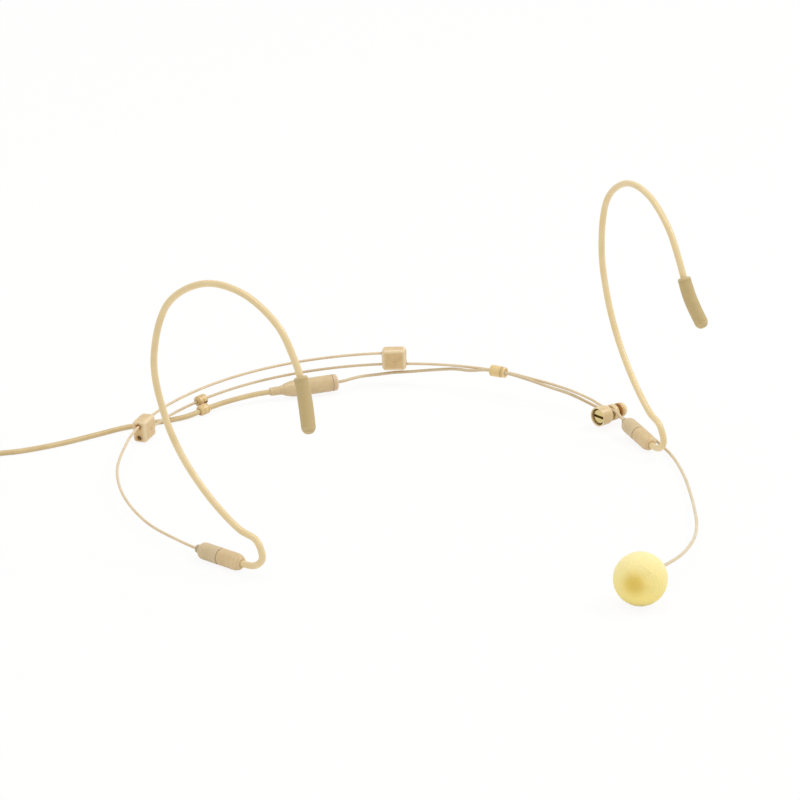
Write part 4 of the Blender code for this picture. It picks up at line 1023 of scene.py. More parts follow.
@dataclass
class Cable:
    """The cable from the connector, wound into a coil with a strap round it, and its tail at the plug."""

    skeleton: Skeleton
    length: float = 1.12  # metres
    by_band: tuple = (
        (85.0, 4.7, 2.45),
        (89.9, 3.86, 2.08),
        (94.3, 3.13, 1.7),
        (97.6, 2.76, 1.42),
        (101.2, 2.73, 1.34),
        (105.2, 2.12, 1.0),
        (109.3, 0.0, 0.86),
        (113.6, -3.8, 0.78),
        (118.2, -8.2, 0.78),
    )
    on_table: tuple = ((-44.0, 108.1, 0.78), (-55.8, 108.4, 0.78), (-67.0, 110.2, 0.78), (-75.2, 113.0, 0.8))
    tail: tuple = ((-90.2, 133.6, 2.0), (-90.3, 136.0, 2.5), (-90.3, 138.8, 3.0), (-90.3, 141.0, 3.2))
    coil_at: Span = (-82.0, 123.9)
    coil_outer: float = 11.5
    coil_inner: float = 4.9
    riser: float = 3.4
    links: tuple = (0.34, 0.8, 0.35, 0.34, 0.3)  # turns to the riser, up it, from it, and twice a row down
    pitch: float = 1.48
    row: float = 1.5
    table_gap: float = 0.78
    entry_angle: float = 270.0
    exit_angle: float = 165.0
    points_per_turn: int = 24
    soften: float = 0.3
    step: float = 0.9
    sides: int = 14
    strap_angle: float = math.radians(20.0)
    strap_width: float = 3.2
    strap_thickness: float = 0.36
    strap_overlap: float = 0.16
    strap_start: float = math.radians(60.0)
    strap_ramp: float = 0.05  # the share of a round over which it climbs on to itself
    strap_square: float = 0.55
    strap_section: Span = (0.4, 0.7)
    strap_grid: tuple[int, int] = (120, 20)

    @property
    def start(self) -> Array:
        """End face of the cable at the connector."""
        return self.skeleton.connector.moved(0.0, 0.0, -GAP).at

    def coil(self) -> Array:
        """Wind the coil, clockwise seen from above.

        Radius and height are straight-line functions of the turns made: in along the bottom row, up the
        inside, out along the top row, and in and out again on the two rows between.  A moving average
        softens them.

        Returns:
            Points of the coil.
        """
        inner, outer, riser = self.coil_inner, self.coil_outer, self.riser
        sweep = (outer - inner) / self.pitch
        low, second, third, top = (self.table_gap + i * self.row for i in range(4))
        inwards, climb, outwards, drop, last_drop = self.links
        legs = (
            (0.0, outer, low),
            (sweep, inner, low),
            (inwards, riser, low),
            (climb, riser, top),
            (outwards, inner, top),
            (sweep, outer, top),
            (drop, outer, third),
            (sweep, inner, third),
            (last_drop, inner, second),
            (sweep, outer, second),
        )
        table = np.array(legs)
        at = np.cumsum(table[:, 0])
        share = (self.entry_angle - self.exit_angle) / 360.0
        last = share + math.ceil(at[-1] - share)
        turns = np.linspace(0.0, last, round(last * self.points_per_turn) + 1)
        width = max(3, round(self.soften * self.points_per_turn)) // 2
        kernel = np.hanning(2 * width + 3)[1:-1]
        kernel /= kernel.sum()
        radius, height = (
            np.convolve(np.pad(np.interp(turns, at, table[:, c]), width, mode="edge"), kernel, "valid")
            for c in (1, 2)
        )
        angle = math.radians(self.entry_angle) - 2 * math.pi * turns
        x, y = self.coil_at[0] + radius * np.cos(angle), self.coil_at[1] + radius * np.sin(angle)
        return np.column_stack([x, y, height])

    def route(self) -> Array:
        """Follow the cable from the connector through its coil to the plug."""
        free = [self.start] + [self.skeleton.beside_band(*p) for p in self.by_band] + list(self.on_table)
        return flow(free + list(self.coil()) + list(self.tail), self.step)

    def strap(self) -> Thing:
        """Wrap a flat strap round the coil's section.

        The strap's line is a superellipse in the plane through the coil's axis, a little over one round,
        that grows by its own thickness where it overlaps.  Its own section is a flat superellipse.

        Returns:
            The strap.
        """
        dia, thickness = self.skeleton.cable_dia, self.strap_thickness
        out = np.array((math.cos(self.strap_angle), math.sin(self.strap_angle), 0.0))
        beside = np.cross(UP, out)
        top = self.table_gap + 3 * self.row + dia / 2 + 2 * thickness
        half_r, half_z = (self.coil_outer - self.coil_inner + dia) / 2 + thickness, (top - thickness) / 2
        middle = np.array((*self.coil_at, top / 2)) + out * (self.coil_outer + self.coil_inner) / 2
        stations, sides = self.strap_grid
        share = np.linspace(0.0, 1.0 + self.strap_overlap, stations)
        angle = 2 * math.pi * share + self.strap_start
        lift = thickness * np.clip((share - 1.0) / self.strap_ramp, -1.0, 0.0)
        r = bulged(np.cos(angle), self.strap_square) * (half_r + lift)
        z = bulged(np.sin(angle), self.strap_square) * (half_z + lift)
        line = middle + r[:, None] * out + z[:, None] * UP
        normal = np.cross(unit(np.gradient(line, axis=0)), beside)
        turn = around(sides)
        flat = bulged(np.cos(turn), self.strap_section[0]) * self.strap_width / 2
        thick = bulged(np.sin(turn), self.strap_section[1]) * thickness / 2
        rings = line[:, None] + flat[:, None] * beside + thick[:, None] * normal[:, None]
        straight = np.stack(np.broadcast_arrays(flat, thick, lengths(line)[:, None]), axis=-1)
        none = np.zeros(stations)
        return dress(skin("coil_strap", rings, straight, none, none), PLUG_RUBBER, nodes=())

    def build(self, plug: list[Thing]) -> None:
        """Args:
            plug: the plug's pieces, which lie at the cable's end; not used.
        """
        line, dia = self.route(), self.skeleton.cable_dia
        cable = wire("cable_fine", line, dia, self.step, self.sides)
        dress(cable, CABLE_VINYL, nodes=("cable", "cable_coil", "cable_tail"))
        strap = self.strap()
        LOG.info("cable of %.3f m", lengths(line)[-1] * MM)
        tuple((self.start - ORIGIN) * MM)


@dataclass
class Plug:
    """The plug at the cable's end: a ribbed rubber boot, a turned shell and a pin."""

    at: Point = (-90.3, 141.0, 3.2)
    ahead: Point = (0.0, 1.0, 0.0)
    boot_length: float = 7.0
    boot_grip: float = 0.6
    boot_radius: float = 1.8
    boot_tip: float = 1.2
    boot_rim: float = 1.5
    boot_spigot: float = 0.9
    ribs: int = 4
    rib_depth: float = 0.16
    rib_shade: float = 0.7
    shell_radius: float = 3.2
    shell_length: float = 15.0
    knurl_teeth: int = 36
    knurl_depth: float = 0.035
    knurl_span: Span = (2.5, 8.0)
    pin_radius: float = 1.75
    pin_length: float = 14.0
    pin_insert: float = 2.7
    insulators: Span = (9.6, 6.2)  # where the pin's dark rings begin, from its end

    @property
    def stand(self) -> Stand:
        """Stand of the plug, from the end of the cable."""
        return Stand.facing(self.at, self.ahead)

    @property
    def shell_span(self) -> Span:
        """Places where the shell starts and ends."""
        start = self.boot_length + 2 * GAP
        return start, start + self.shell_length

    def boot(self) -> Thing:
        """Turn the boot, which grips the cable's end and whose cone carries a row of ribs.

        Returns:
            The boot.
        """
        start, end = -self.boot_grip, GAP + self.boot_length
        cone, r, s = end - self.boot_rim, self.boot_radius, self.boot_spigot
        marks = np.linspace(start + 0.5, cone - 0.3, 2 * self.ribs)
        size = np.interp(marks, (start, cone), (self.boot_tip, r))
        size -= np.tile((0.0, self.rib_depth), self.ribs)
        # the grooves between the ribs are painted shade
        rib_shades = np.tile((0.0, self.rib_shade), self.ribs)
        corners = [(0, start), (self.boot_tip, start, 0.25)]
        corners += [(x, z, 0.2, t) for x, z, t in zip(size, marks, rib_shades)]
        corners += [(r, cone, 0.2), (r, end, 0.2), (s, end), (s, end + GAP), (0, end + GAP)]
        return dress(turned("plug_boot_fine", self.stand, corners, step=0.2), PLUG_RUBBER)

    def shell(self) -> Thing:
        """Turn the shell, with a knurled band and a groove.

        Returns:
            The shell.
        """
        (start, end), r, p = self.shell_span, self.shell_radius, self.pin_radius + 0.1
        corners = [(0, start), (r - 1.1, start, 0.4), (r, start + 1.4, 0.5)]
        # the groove and the bore round the pin are painted shade
        corners += [(r, end - 2.4, 0.1), (r - 0.3, end - 2.2, 0.1, 1.0), (r - 0.3, end - 1.9, 0.1, 1.0)]
        corners += [(r, end - 1.7, 0.1), (r, end, 0.25), (p, end, 0.1)]
        corners += [(p, end - 0.5, 0.0, 1.0), (0, end - 0.5)]
        band = (start + place for place in self.knurl_span)
        knurl = Knurl(self.knurl_teeth, self.knurl_depth, *band)
        return dress(turned("plug_shell_fine", self.stand, corners, step=0.25, knurl=knurl), PLUG_NICKEL)

    def pin(self) -> Thing:
        """Turn the pin, with its two dark insulating rings and the notch behind its tip.

        Returns:
            The pin.
        """
        start, r = self.shell_span[1] - self.pin_insert, self.pin_radius
        end = self.shell_span[1] + self.pin_length
        corners = [(0, start), (r, start)]
        for back in self.insulators:
            corners += [(r, end - back - 0.05), (r - 0.02, end - back, 0, 1.0)]
            corners += [(r - 0.02, end - back + 0.6, 0, 1.0), (r, end - back + 0.65)]
        # the notch is painted shade; the insulating rings above are their own dark colour
        corners += [(r, end - 3.9, 0.1), (r - 0.45, end - 3.2, 0.25, 0.3), (r, end - 1.6, 0.4)]
        corners += [(0.7, end, 0.35), (0, end)]
        return dress(turned("plug_pin_fine", self.stand, corners), BRASS)

    def build(self) -> list[Thing]:
        """Make the plug and give its pieces."""
        return [self.boot(), self.shell(), self.pin()]


@dataclass
class EarHook:
    """One ear hook: its vinyl tube, its rubber tip, and the ferrule that it swivels in."""

    skeleton: Skeleton
    side: Side
    tube_dia: float = 1.74
    insert: float = 3.2
    extra: float = 0.4
    end_wall: float = 1.6
    bends: tuple = (
        (0.0, 0.0, 0.0),
        (4.4, 0.0, 0.6),
        (6.9, 0.0, 3.2),
        (4.9, -0.2, 7.3),
        (-0.8, -0.1, 8.9),
        (-11.0, 0.0, 15.3),
        (-20.3, 0.0, 24.5),
        (-26.0, -0.2, 34.4),
        (-28.9, -0.5, 46.5),
        (-24.6, -1.3, 61.8),
        (-12.4, -1.8, 69.8),
        (0.7, -2.1, 69.8),
        (11.6, -2.2, 64.0),
        (16.8, -1.9, 57.1),
        (19.2, -1.6, 52.6),
        (21.2, -0.8, 47.8),
        (24.5, 1.5, 40.6),
    )
    tip_length: float = 14.0
    tip_radius: float = 1.8
    mouth: float = 0.9
    mouth_depth: float = 2.2
    socket_length: float = 6.8
    nub_radius: float = 1.1
    nub_length: float = 1.15
    seam: float = 0.03
    step: float = 0.5

    @property
    def out(self) -> Array:
        """Direction away from the wearer's head."""
        return self.skeleton.ear_axes(self.side)[1]

    @property
    def stand(self) -> Stand:
        """Stand of the ferrule, from the back of its barrel."""
        back = self.skeleton.ferrule_point(self.side, self.skeleton.barrel_length)
        return Stand.facing(back, self.skeleton.ferrule_axis(self.side))

    @property
    def hook(self) -> Body:
        """Body that swivels."""
        return Body(self.side.node("hook"))

    def line(self) -> Array:
        """Follow the hook from inside its ferrule to the end of its tip.

        Returns:
            Points along the hook.
        """
        bones, side = self.skeleton, self.side
        start = [bones.ferrule_point(side, back) for back in (self.insert + self.extra, self.insert / 2)]
        return flow(start + [bones.ear_point(side, *p) for p in self.bends], self.step)

    def tube(self) -> None:
        """Draw the tube along the hook's line, up to inside the tip."""
        line = self.line()
        marks = np.arange(self.extra, lengths(line)[-1] - self.end_wall - GAP, self.step)
        part = read_at(marks, lengths(line), line)
        name = self.side.fine("hook_tube")
        tube = wire(name, part, self.tube_dia, self.step, sides=24, hint=self.out)
        dress(tube, HOOK_VINYL, self.hook)

    def tip(self) -> None:
        """Sweep the tip's outline along the last of the hook's line.

        The outline is a thin lip on the tube, a shallow neck behind it, a body that swells a little, and
        an end with a soft chamfer.
        """
        line, r, long = self.line(), self.tip_radius, self.tip_length
        whole, hole = lengths(line)[-1], self.tube_dia / 2 - 0.1
        start = whole - long
        # the tip's mouth round the tube and its neck are painted shade
        corners = [(0, start + 0.6), (hole, start + 0.6), (hole, start, 0.0, 0.5), (r - 0.32, start, 0.2)]
        corners += [(r - 0.02, start + 0.45, 0.25), (r - 0.1, start + 1.0, 0.3, 0.1)]
        corners += [(r - 0.05, start + 2.2, 0.6), (r, start + long / 2, 2.0)]
        corners += [(r - 0.04, whole - 1.1, 0.9), (r - 0.75, whole - 0.2, 0.6), (0.5, whole, 0.3), (0, whole)]
        tip = swept(self.side.fine("hook_tip"), line, corners, step=0.35, hint=self.out, sides=32)
        dress(tip, TIP_RUBBER, self.hook)

    def barrel(self) -> None:
        """Turn the swivel barrel, with its domed nose and the mouth that the hook enters."""
        r, long, m = self.skeleton.ferrule_dia / 2, self.skeleton.barrel_length, self.mouth
        floor = long - self.mouth_depth
        # the back face by the seam, the groove and the mouth are painted shade
        corners = [(0, 0, 0, 0.3), (r - 0.16, 0, 0.1, 0.3), (r, 0.2, 0.16)]
        if self.side is Side.RIGHT:
            corners += [(r, 2.1, 0.06), (r - 0.06, 2.22, 0.05, 0.45), (r, 2.34, 0.06)]
        corners += [(r, long - 1.8, 1.0), (r - 0.28, long - 0.75, 0.5), (r - 0.75, long - 0.1, 0.4)]
        corners += [(m + 0.1, long + 0.12, 0.25), (m, long, 0.0, 0.2), (m, floor, 0, 0.6), (0, floor, 0, 0.6)]
        barrel = turned(self.side.fine("swivel_barrel"), self.stand, corners, step=0.35, sides=56)
        dress(barrel, BARREL_ABS, self.hook)

    def socket(self) -> None:
        """Turn the wire's socket, with its chamfered back, its nub, and a spigot in the seam."""
        r, n, seam = self.skeleton.ferrule_dia / 2, self.nub_radius, -self.seam
        back = -GAP - self.socket_length
        end = back - self.nub_length
        # the nub where the wire enters and the seam are painted shade
        corners = [(0, end, 0, 0.9), (0.5, end, 0.05, 0.9), (n - 0.12, end, 0.15, 0.6)]
        corners += [(n, end + 0.3, 0.2, 0.45), (n, back + 0.25, 0.15, 0.55)]
        corners += [(r - 0.75, back + 0.25, 0.25), (r - 0.12, back + 0.75, 0.4), (r, back + 1.7, 0.5)]
        corners += [(r, -GAP - 0.16, 0.1), (r - 0.16, -GAP, 0.1, 0.35), (r - 0.2, -GAP, 0.0, 0.5)]
        corners += [(r - 0.2, seam, 0.0, 0.5), (0, seam, 0, 0.5)]
        socket = turned(self.side.fine("wire_socket"), self.stand, corners, step=0.35, sides=56)
        dress(socket, SOCKET_ABS, Body(self.side.node("side")))

    def build(self) -> None:
        """Make the hook and its ferrule."""
        for make in (self.tube, self.tip, self.barrel, self.socket):
            make()
        repaint(STEEL, self.side.node("hook_core"), self.side.node("swivel_pin"))


@dataclass
class Neckband:
    """Two spring wires on one tilted circle, each sliding in the block on the other's end."""

    skeleton: Skeleton
    block_size: Point = (6.8, 4.1, 6.2)
    block_round: float = 1.1
    left_angle: float = 121.5
    right_angle: float = 48.5
    recess: float = 0.35
    hole_dia: float = 1.15
    hole_flare: float = 0.14
    dimple_radius: float = 0.73
    dimple_depth: float = 0.25
    dimple_points: int = 25
    # how dark the painted shade in the dimple is
    dimple_shade: float = 0.3
    dimple_skim: float = 0.02
    circle_end: float = 19.0
    left_run: tuple = (
        (135.0, -0.07, 4.7),
        (150.0, 0.13, 4.0),
        (165.0, 0.39, 3.3),
        (180.0, 0.74, 2.7),
        (190.0, 0.89, 2.4),
    )
    left_straight: float = 1.5
    right_straight: float = 1.0
    clamp_chord: float = 2.323
    wire_round: float = 0.06
    arc_points: int = 16
    step: float = 0.7

    def degrees(self, length: float) -> float:
        """Turn a length along the circle into degrees."""
        return math.degrees(length / self.skeleton.band_radius)

    def arc(self, start: float, end: float, level: float) -> list[Array]:
        """Follow the circle between two angles in degrees."""
        return [self.skeleton.band_point(a, level) for a in np.linspace(start, end, self.arc_points)]

    def left_line(self) -> Array:
        """Follow the left wire from the right block to the left ferrule.

        Returns:
            Points along the wire.
        """
        bones, half = self.skeleton, self.degrees(self.block_size[0] / 2)
        start = self.right_angle - half + self.degrees(self.recess)
        points = self.arc(start, self.left_angle + 2 * half, bones.wire_spacing / 2)
        end = bones.ferrule_point(Side.LEFT, bones.ferrule_length)
        points += [bones.run_point(end, *p) for p in self.left_run]
        return flow(points + bones.wire_end(Side.LEFT, self.left_straight), self.step)

    def right_line(self) -> Array:
        """Follow the right wire from the left block, over the clamp's screw, to the right ferrule.

        Returns:
            Points along the wire.
        """
        bones, half = self.skeleton, self.degrees(self.block_size[0] / 2)
        start = self.left_angle + half - self.degrees(self.recess)
        points = self.arc(start, self.circle_end, -bones.wire_spacing / 2)
        across, crossing = bones.clamp.aside * self.clamp_chord, bones.clamped_wire
        points += [bones.run_point(crossing, *p) for p in bones.right_run]
        points += [crossing - across, crossing + across]
        return flow(points + bones.wire_end(Side.RIGHT, self.right_straight), self.step)

    def block(self, side: Side, angle: float, body: Body) -> None:
        """Make one slide block: a rounded box with two flared wire holes and a dimple on its inner face.

        Args:
            side: the block's side.
            angle: its place on the circle, in degrees.
            body: what it rides on.
        """
        bones, ball, skim = self.skeleton, self.dimple_radius, self.dimple_skim
        stand = Stand(bones.band_point(angle), *bones.band_axes(angle))
        holes = [(0.0, 0.0, level) for level in (bones.wire_spacing / 2, -bones.wire_spacing / 2)]
        axes = [Stand.facing(stand.moved(*hole).at, stand.across, stand.along) for hole in holes]
        tools = [rod(axis, self.hole_dia, self.block_size[0], self.hole_flare) for axis in axes]
        face = -self.block_size[1] / 2
        middle = np.array((0.0, face - ball + self.dimple_depth, 0.0))
        polar = np.linspace(0.0, math.pi, self.dimple_points)
        circle = list(zip(ball * np.sin(polar), -ball * np.cos(polar)))
        tools.append(turned("dimple", stand.moved(*middle), circle, step=2 * math.pi * ball, sides=32))

        def painted_shade(p: Array) -> Array:
            """Paint shade in the dimple, up to just below its rim."""
            inside = np.linalg.norm(p - middle, axis=1) < ball + skim
            return self.dimple_shade * (inside & (p[:, 1] > face + skim))

        block = boxed(side.fine("slide_block"), stand, self.block_size, self.block_round)
        # the wire holes are spots of painted shade round them
        dress(shaped(block, stand, tools, painted_shade=painted_shade), replace(BLOCK_NYLON, spots=tuple(holes)), body)

    def build(self) -> None:
        """Make the wires, and the blocks, each of which rides with the wire that is fixed in it."""
        for side, line in ((Side.LEFT, self.left_line()), (Side.RIGHT, self.right_line())):
            name, dia = side.fine("band_wire"), self.skeleton.wire_dia
            thread = wire(name, line, dia, self.step, round_off=self.wire_round, cut=1.0)
            dress(thread, WIRE_COAT, Body(side.node("side")))
        self.block(Side.LEFT, self.left_angle, Body.RIGHT_SIDE)
        self.block(Side.RIGHT, self.right_angle, Body.LEFT_SIDE)


@dataclass
class WireFittings:
    """The clip that holds the cable to the lower wire, and the bead that ties the boom's lead to it."""

    skeleton: Skeleton
    clip_angle: float = 99.7
    clip_length: float = 3.5
    lobe_dia: float = 2.95
    lobe_round: float = 0.45
    cable_lobe_lift: float = 0.17
    stagger: float = 0.9
    web: float = 1.2
    web_length: float = 1.4
    # the slit between the lobes is painted shade
    slit: Span = (0.92, 0.9)  # where the dark slit between the lobes begins and ends, in lobe radii
    bead_angle: float = 22.0
    bead_radius: float = 1.6
    step_radius: float = 1.48
    bead_length: float = 4.6
    bead_step: float = 1.3
    bead_dish: float = 1.05
    lead_lean: float = math.radians(12.0)
    slot_width: float = 0.35
    slot_reach: float = 2.0

    def lobe(self, stand: Stand) -> Thing:
        """Turn one lobe of the clip, with softly rounded ends.

        Args:
            stand: the lobe's middle and axis.

        Returns:
            The lobe.
        """
        half, r, c = self.clip_length / 2, self.lobe_dia / 2, self.lobe_round
        corners = [(0, -half), (r - c, -half, 0.35), (r, c - half, 0.4), (r, half - c, 0.4)]
        return turned("lobe", stand, corners + [(r - c, half, 0.35), (0, half)])

    def clip(self, cable_line: Array) -> None:
        """Join two lobes by a web, and drill the wire's and the cable's holes.

        Args:
            cable_line: the cable's route.
        """
        bones, long, r = self.skeleton, self.clip_length, self.lobe_dia / 2
        tangent = bones.band_axes(self.clip_angle)[0]
        wire_at = bones.band_point(self.clip_angle, -bones.wire_spacing / 2)
        near = cable_line[np.linalg.norm(cable_line - wire_at, axis=1) < 2 * long]
        ahead = (near - wire_at) @ tangent
        order = np.argsort(ahead)
        apart = read_at(np.zeros(1), ahead[order], near[order])[0] - wire_at
        reach = float(np.linalg.norm(apart))
        stand = Stand.facing(wire_at, tangent, apart)
        high, low = stand.moved(0.0, 0.0, self.stagger), stand.moved(reach, 0.0, -self.stagger)
        raised = Stand.facing(low.at + UP * self.cable_lobe_lift, tangent)
        web = (reach, self.web, self.web_length)
        half_way = stand.moved(reach / 2, 0.0, 0.0)
        clip = boxed("cable_clip_fine", half_way, web, round_off=0.2, arc=3, flat=3)
        shaped(clip, stand, [self.lobe(high), self.lobe(raised)], "UNION")
        holes = [rod(high, bones.wire_dia + GAP / 2, long, chamfer=0.04)]
        holes += [rod(low, bones.cable_dia + GAP / 3, long, chamfer=0.12)]
        # painted shade in the slit between the two lobes
        start, end = self.slit[0] * r, reach - self.slit[1] * r
        dress(shaped(clip, stand, holes, painted_shade=lambda p: (p[:, 0] > start) & (p[:, 0] < end)), CLIP_NYLON)

    def bead(self) -> None:
        """Turn the two-step bead, dished round the wires at both ends, and saw a slot along its step."""
        bones = self.skeleton
        tangent, outward, normal = bones.band_axes(self.bead_angle)
        apart = -outward * math.cos(self.lead_lean) + normal * math.sin(self.lead_lean)
        shift = (bones.lead_spacing + (bones.boom_dia - bones.wire_dia) / 2) / 2
        middle = bones.band_point(self.bead_angle, -bones.wire_spacing / 2) + apart * shift
        stand = Stand.facing(middle, tangent, UP)
        half, r, s, d = self.bead_length / 2, self.bead_radius, self.step_radius, self.bead_dish
        # the dishes round the wires and the step's inner corner are painted shade
        corners = [(0, 0.1 - half, 0, 0.3), (d - 0.2, 0.1 - half, 0.1, 0.3), (d, -half, 0.1), (r, -half, 0.4)]
        corners += [(r, half - self.bead_step, 0.2), (s, half - self.bead_step, 0.05, 0.5), (s, half, 0.35)]
        corners += [(d, half, 0.1), (d - 0.2, half - 0.1, 0.1, 0.3), (0, half - 0.1, 0, 0.3)]
        bead = turned("boom_bead_fine", stand, corners)
        mouth = stand.moved(0.0, -r, half - self.bead_step / 2)
        size = (self.slot_width, self.slot_reach, self.bead_step)
        slot = boxed("slot", mouth, size, round_off=0.1, arc=2, flat=2)
        dress(shaped(bead, stand, [slot]), BEAD_NYLON)

    def build(self, cable_line: Array) -> None:
        """Make the clip and the bead, with the cable's route to place the clip."""
        self.clip(cable_line)
        self.bead()


@dataclass
class Connector:
    """The in-line connector: a turned shell with a cone, its collar on the cable, and its nose."""

    skeleton: Skeleton
    collar_length: float = 2.1
    collar_grip: float = 0.6
    collar_radius: float = 1.2
    neck_radius: float = 1.21
    shell_radius: float = 2.35
    cone_length: float = 4.7
    nose_length: float = 1.5
    spigot: float = 2.2
    lip: float = 0.14
    seam: float = 0.03
    notch: Point = (0.5, 0.9, 1.0)

    def collar(self) -> None:
        """Turn the collar, which grips the cable's end and fills the seam before the shell."""
        r, start, end = self.collar_radius, -self.collar_grip, self.collar_length + GAP - 0.05
        corners = [(0, start), (r - 0.25, start, 0.2), (r, start + 0.4, 0.25), (r, end, 0.04), (0, end)]
        dress(turned("connector_collar_fine", self.skeleton.connector, corners), SHELL_ABS)

    def shell(self) -> None:
        """Turn the shell: a cone that swells, a cylinder, and a spigot up to the nose; then notch it."""
        stand, r, n, s = self.skeleton.connector, self.shell_radius, self.neck_radius, self.spigot
        start = self.collar_length + GAP
        full, end = start + self.cone_length, self.skeleton.connector_length - self.nose_length
        corners = [(0, start - self.seam), (n, start - self.seam), (n + 0.1, start + 0.6, 0.5)]
        corners += [(n + 0.6, start + 1.8, 0.8), (r - 0.12, full - 1.2, 0.9), (r, full + 0.3, 0.7)]
        # the spigot in the seam before the nose is painted shade
        corners += [(r, end - self.lip, 0.1), (s, end - self.lip, 0.0, 0.7), (s, end - self.seam, 0, 0.7)]
        corners += [(0, end - self.seam)]
        shell = turned("connector_shell_fine", stand, corners, step=0.4, sides=64)
        mouth = stand.moved(r, 0.0, full + 0.2)
        notch = boxed("notch", mouth, self.notch, round_off=0.12, arc=3, flat=2)
        dress(shaped(shell, stand, [notch]), SHELL_ABS)

    def nose(self) -> None:
        """Turn the nose: a rounded cap with a dished mouth round the lead."""
        whole, r, lead = self.skeleton.connector_length, self.shell_radius, self.skeleton.boom_dia / 2
        start, dish = whole - self.nose_length, whole - 0.3
        # the seam and the dished mouth round the lead are painted shade
        corners = [(0, start), (r - 0.1, start, 0.05, 0.4), (r, start + 0.1, 0.08), (r, whole, 0.75)]
        corners += [(lead + 0.5, whole, 0.2), (lead + 0.06, dish, 0.1, 0.9), (0, dish, 0, 0.9)]
        dress(turned("connector_nose_fine", self.skeleton.connector, corners, sides=64), NOSE_ACETAL)

    def build(self) -> None:
        """Make the connector."""
        for make in (self.collar, self.shell, self.nose):
            make()
        repaint(CONTACT_BRASS, "contact_insert")


@dataclass
class BoomClamp:
    """The clamp behind the right ferrule: barrel, ring and knob on one screw, the wires between them."""

    skeleton: Skeleton
    slot_half: float = 0.575
    barrel_radius: float = 2.65
    barrel_length: float = 3.9
    head_room: float = 2.3
    ring_radius: float = 2.25
    ring_length: float = 1.4
    knob_start: float = 3.225
    knob_length: float = 2.5
    knob_radius: float = 2.05
    knob_crown: float = 0.9
    knob_flange: float = 0.55
    knob_flutes: int = 18
    flute_depth: float = 0.022
    hole: float = 0.75
    shank: float = 0.7
    screw_insert: float = 0.6
    head_radius: float = 1.95
    head_length: float = 1.15
    head_recess: float = 0.55
    slot_size: Point = (0.75, 5.0, 0.9)

    @property
    def head_span(self) -> Span:
        """Places of the face and the seat of the screw's head."""
        face = -self.slot_half - self.barrel_length + self.head_recess
        return face, face + self.head_length

    def barrel(self) -> None:
        """Turn the barrel: a drum with a rounded shoulder, bored for the screw's head at its far end."""
        near, far = -self.slot_half, -self.slot_half - self.barrel_length
        r, h, room, seat = self.barrel_radius, self.hole, self.head_room, self.head_span[1]
        # the room round the screw's head and the bore are painted shade
        corners = [(h, seat, 0, 1.0), (room, seat, 0.1, 1.0), (room, far, 0.2), (r, far, 0.2)]
        corners += [(r, near - 0.9, 0.5), (r - 0.25, near - 0.1, 0.3), (r - 0.5, near, 0.1)]
        corners += [(h, near, 0, 0.8), (h, (near + seat) / 2, 0, 1.0)]
        stand = self.skeleton.clamp
        dress(turned("clamp_barrel_fine", stand, corners, step=0.35, sides=64, ring=True), CLAMP_NYLON)

    def ring(self) -> None:
        """Turn the ring between the two wires."""
        start, end, r, h = self.slot_half, self.slot_half + self.ring_length, self.ring_radius, self.hole
        # the bore is painted shade
        corners = [(h, start, 0, 0.8), (r, start, 0.3), (r, end, 0.3), (h, end, 0, 0.8)]
        corners += [(h, (start + end) / 2)]
        dress(turned("clamp_ring_fine", self.skeleton.clamp, corners, sides=56, ring=True), CLAMP_NYLON)

    def knob(self) -> None:
        """Turn the knob: a flange, a shallow neck, and a dome whose side is fluted."""
        start, r = self.knob_start, self.knob_radius
        end, neck = start + self.knob_length, start + self.knob_flange
        crown = end - self.knob_crown
        # the faces by the gap and the neck's groove are painted shade
        corners = [(0, start, 0, 1.0), (self.hole, start, 0, 1.0)]
        corners += [(r, start, 0.18, 0.8), (r, neck, 0.12, 0.3)]
        corners += [(r - 0.15, neck + 0.1, 0.06, 0.7), (r - 0.15, neck + 0.22, 0.06, 0.6)]
        corners += [(r - 0.05, neck + 0.34, 0.1), (r - 0.05, crown, 0.6)]
        corners += [(r - 0.6, end - 0.18, 0.6), (0, end)]
        flutes = Knurl(self.knob_flutes, self.flute_depth, neck + 0.4, crown + 0.35, rise=0.3, power=2)
        dress(turned("clamp_knob_fine", self.skeleton.clamp, corners, step=0.2, knurl=flutes), KNOB_NYLON)

    def screw(self) -> None:
        """Turn the screw with its rounded cheese head, and saw the head's slot."""
        stand, (face, seat) = self.skeleton.clamp, self.head_span
        h, s, end = self.head_radius, self.shank, self.knob_start + self.screw_insert
        # the underside of the head is painted shade
        corners = [(0, face), (h, face, 0.3), (h, seat, 0.1, 0.6), (s, seat), (s, end, 0.1), (0, end)]
        screw = turned("clamp_screw_fine", stand, corners, sides=56)
        mouth = stand.moved(0.0, 0.0, face)
        slot = boxed("slot", mouth, self.slot_size, round_off=0.05, arc=2, flat=2)
        # the head's slot is painted shade
        low, high = face + 0.2, seat - 0.1
        cut = shaped(screw, stand, [slot], painted_shade=lambda p: (p[:, 2] > low) & (p[:, 2] < high))
        dress(cut, BRASS, Body.SCREW)

    def build(self) -> None:
        """Make the clamp."""
        for make in (self.barrel, self.ring, self.knob, self.screw):
            make()


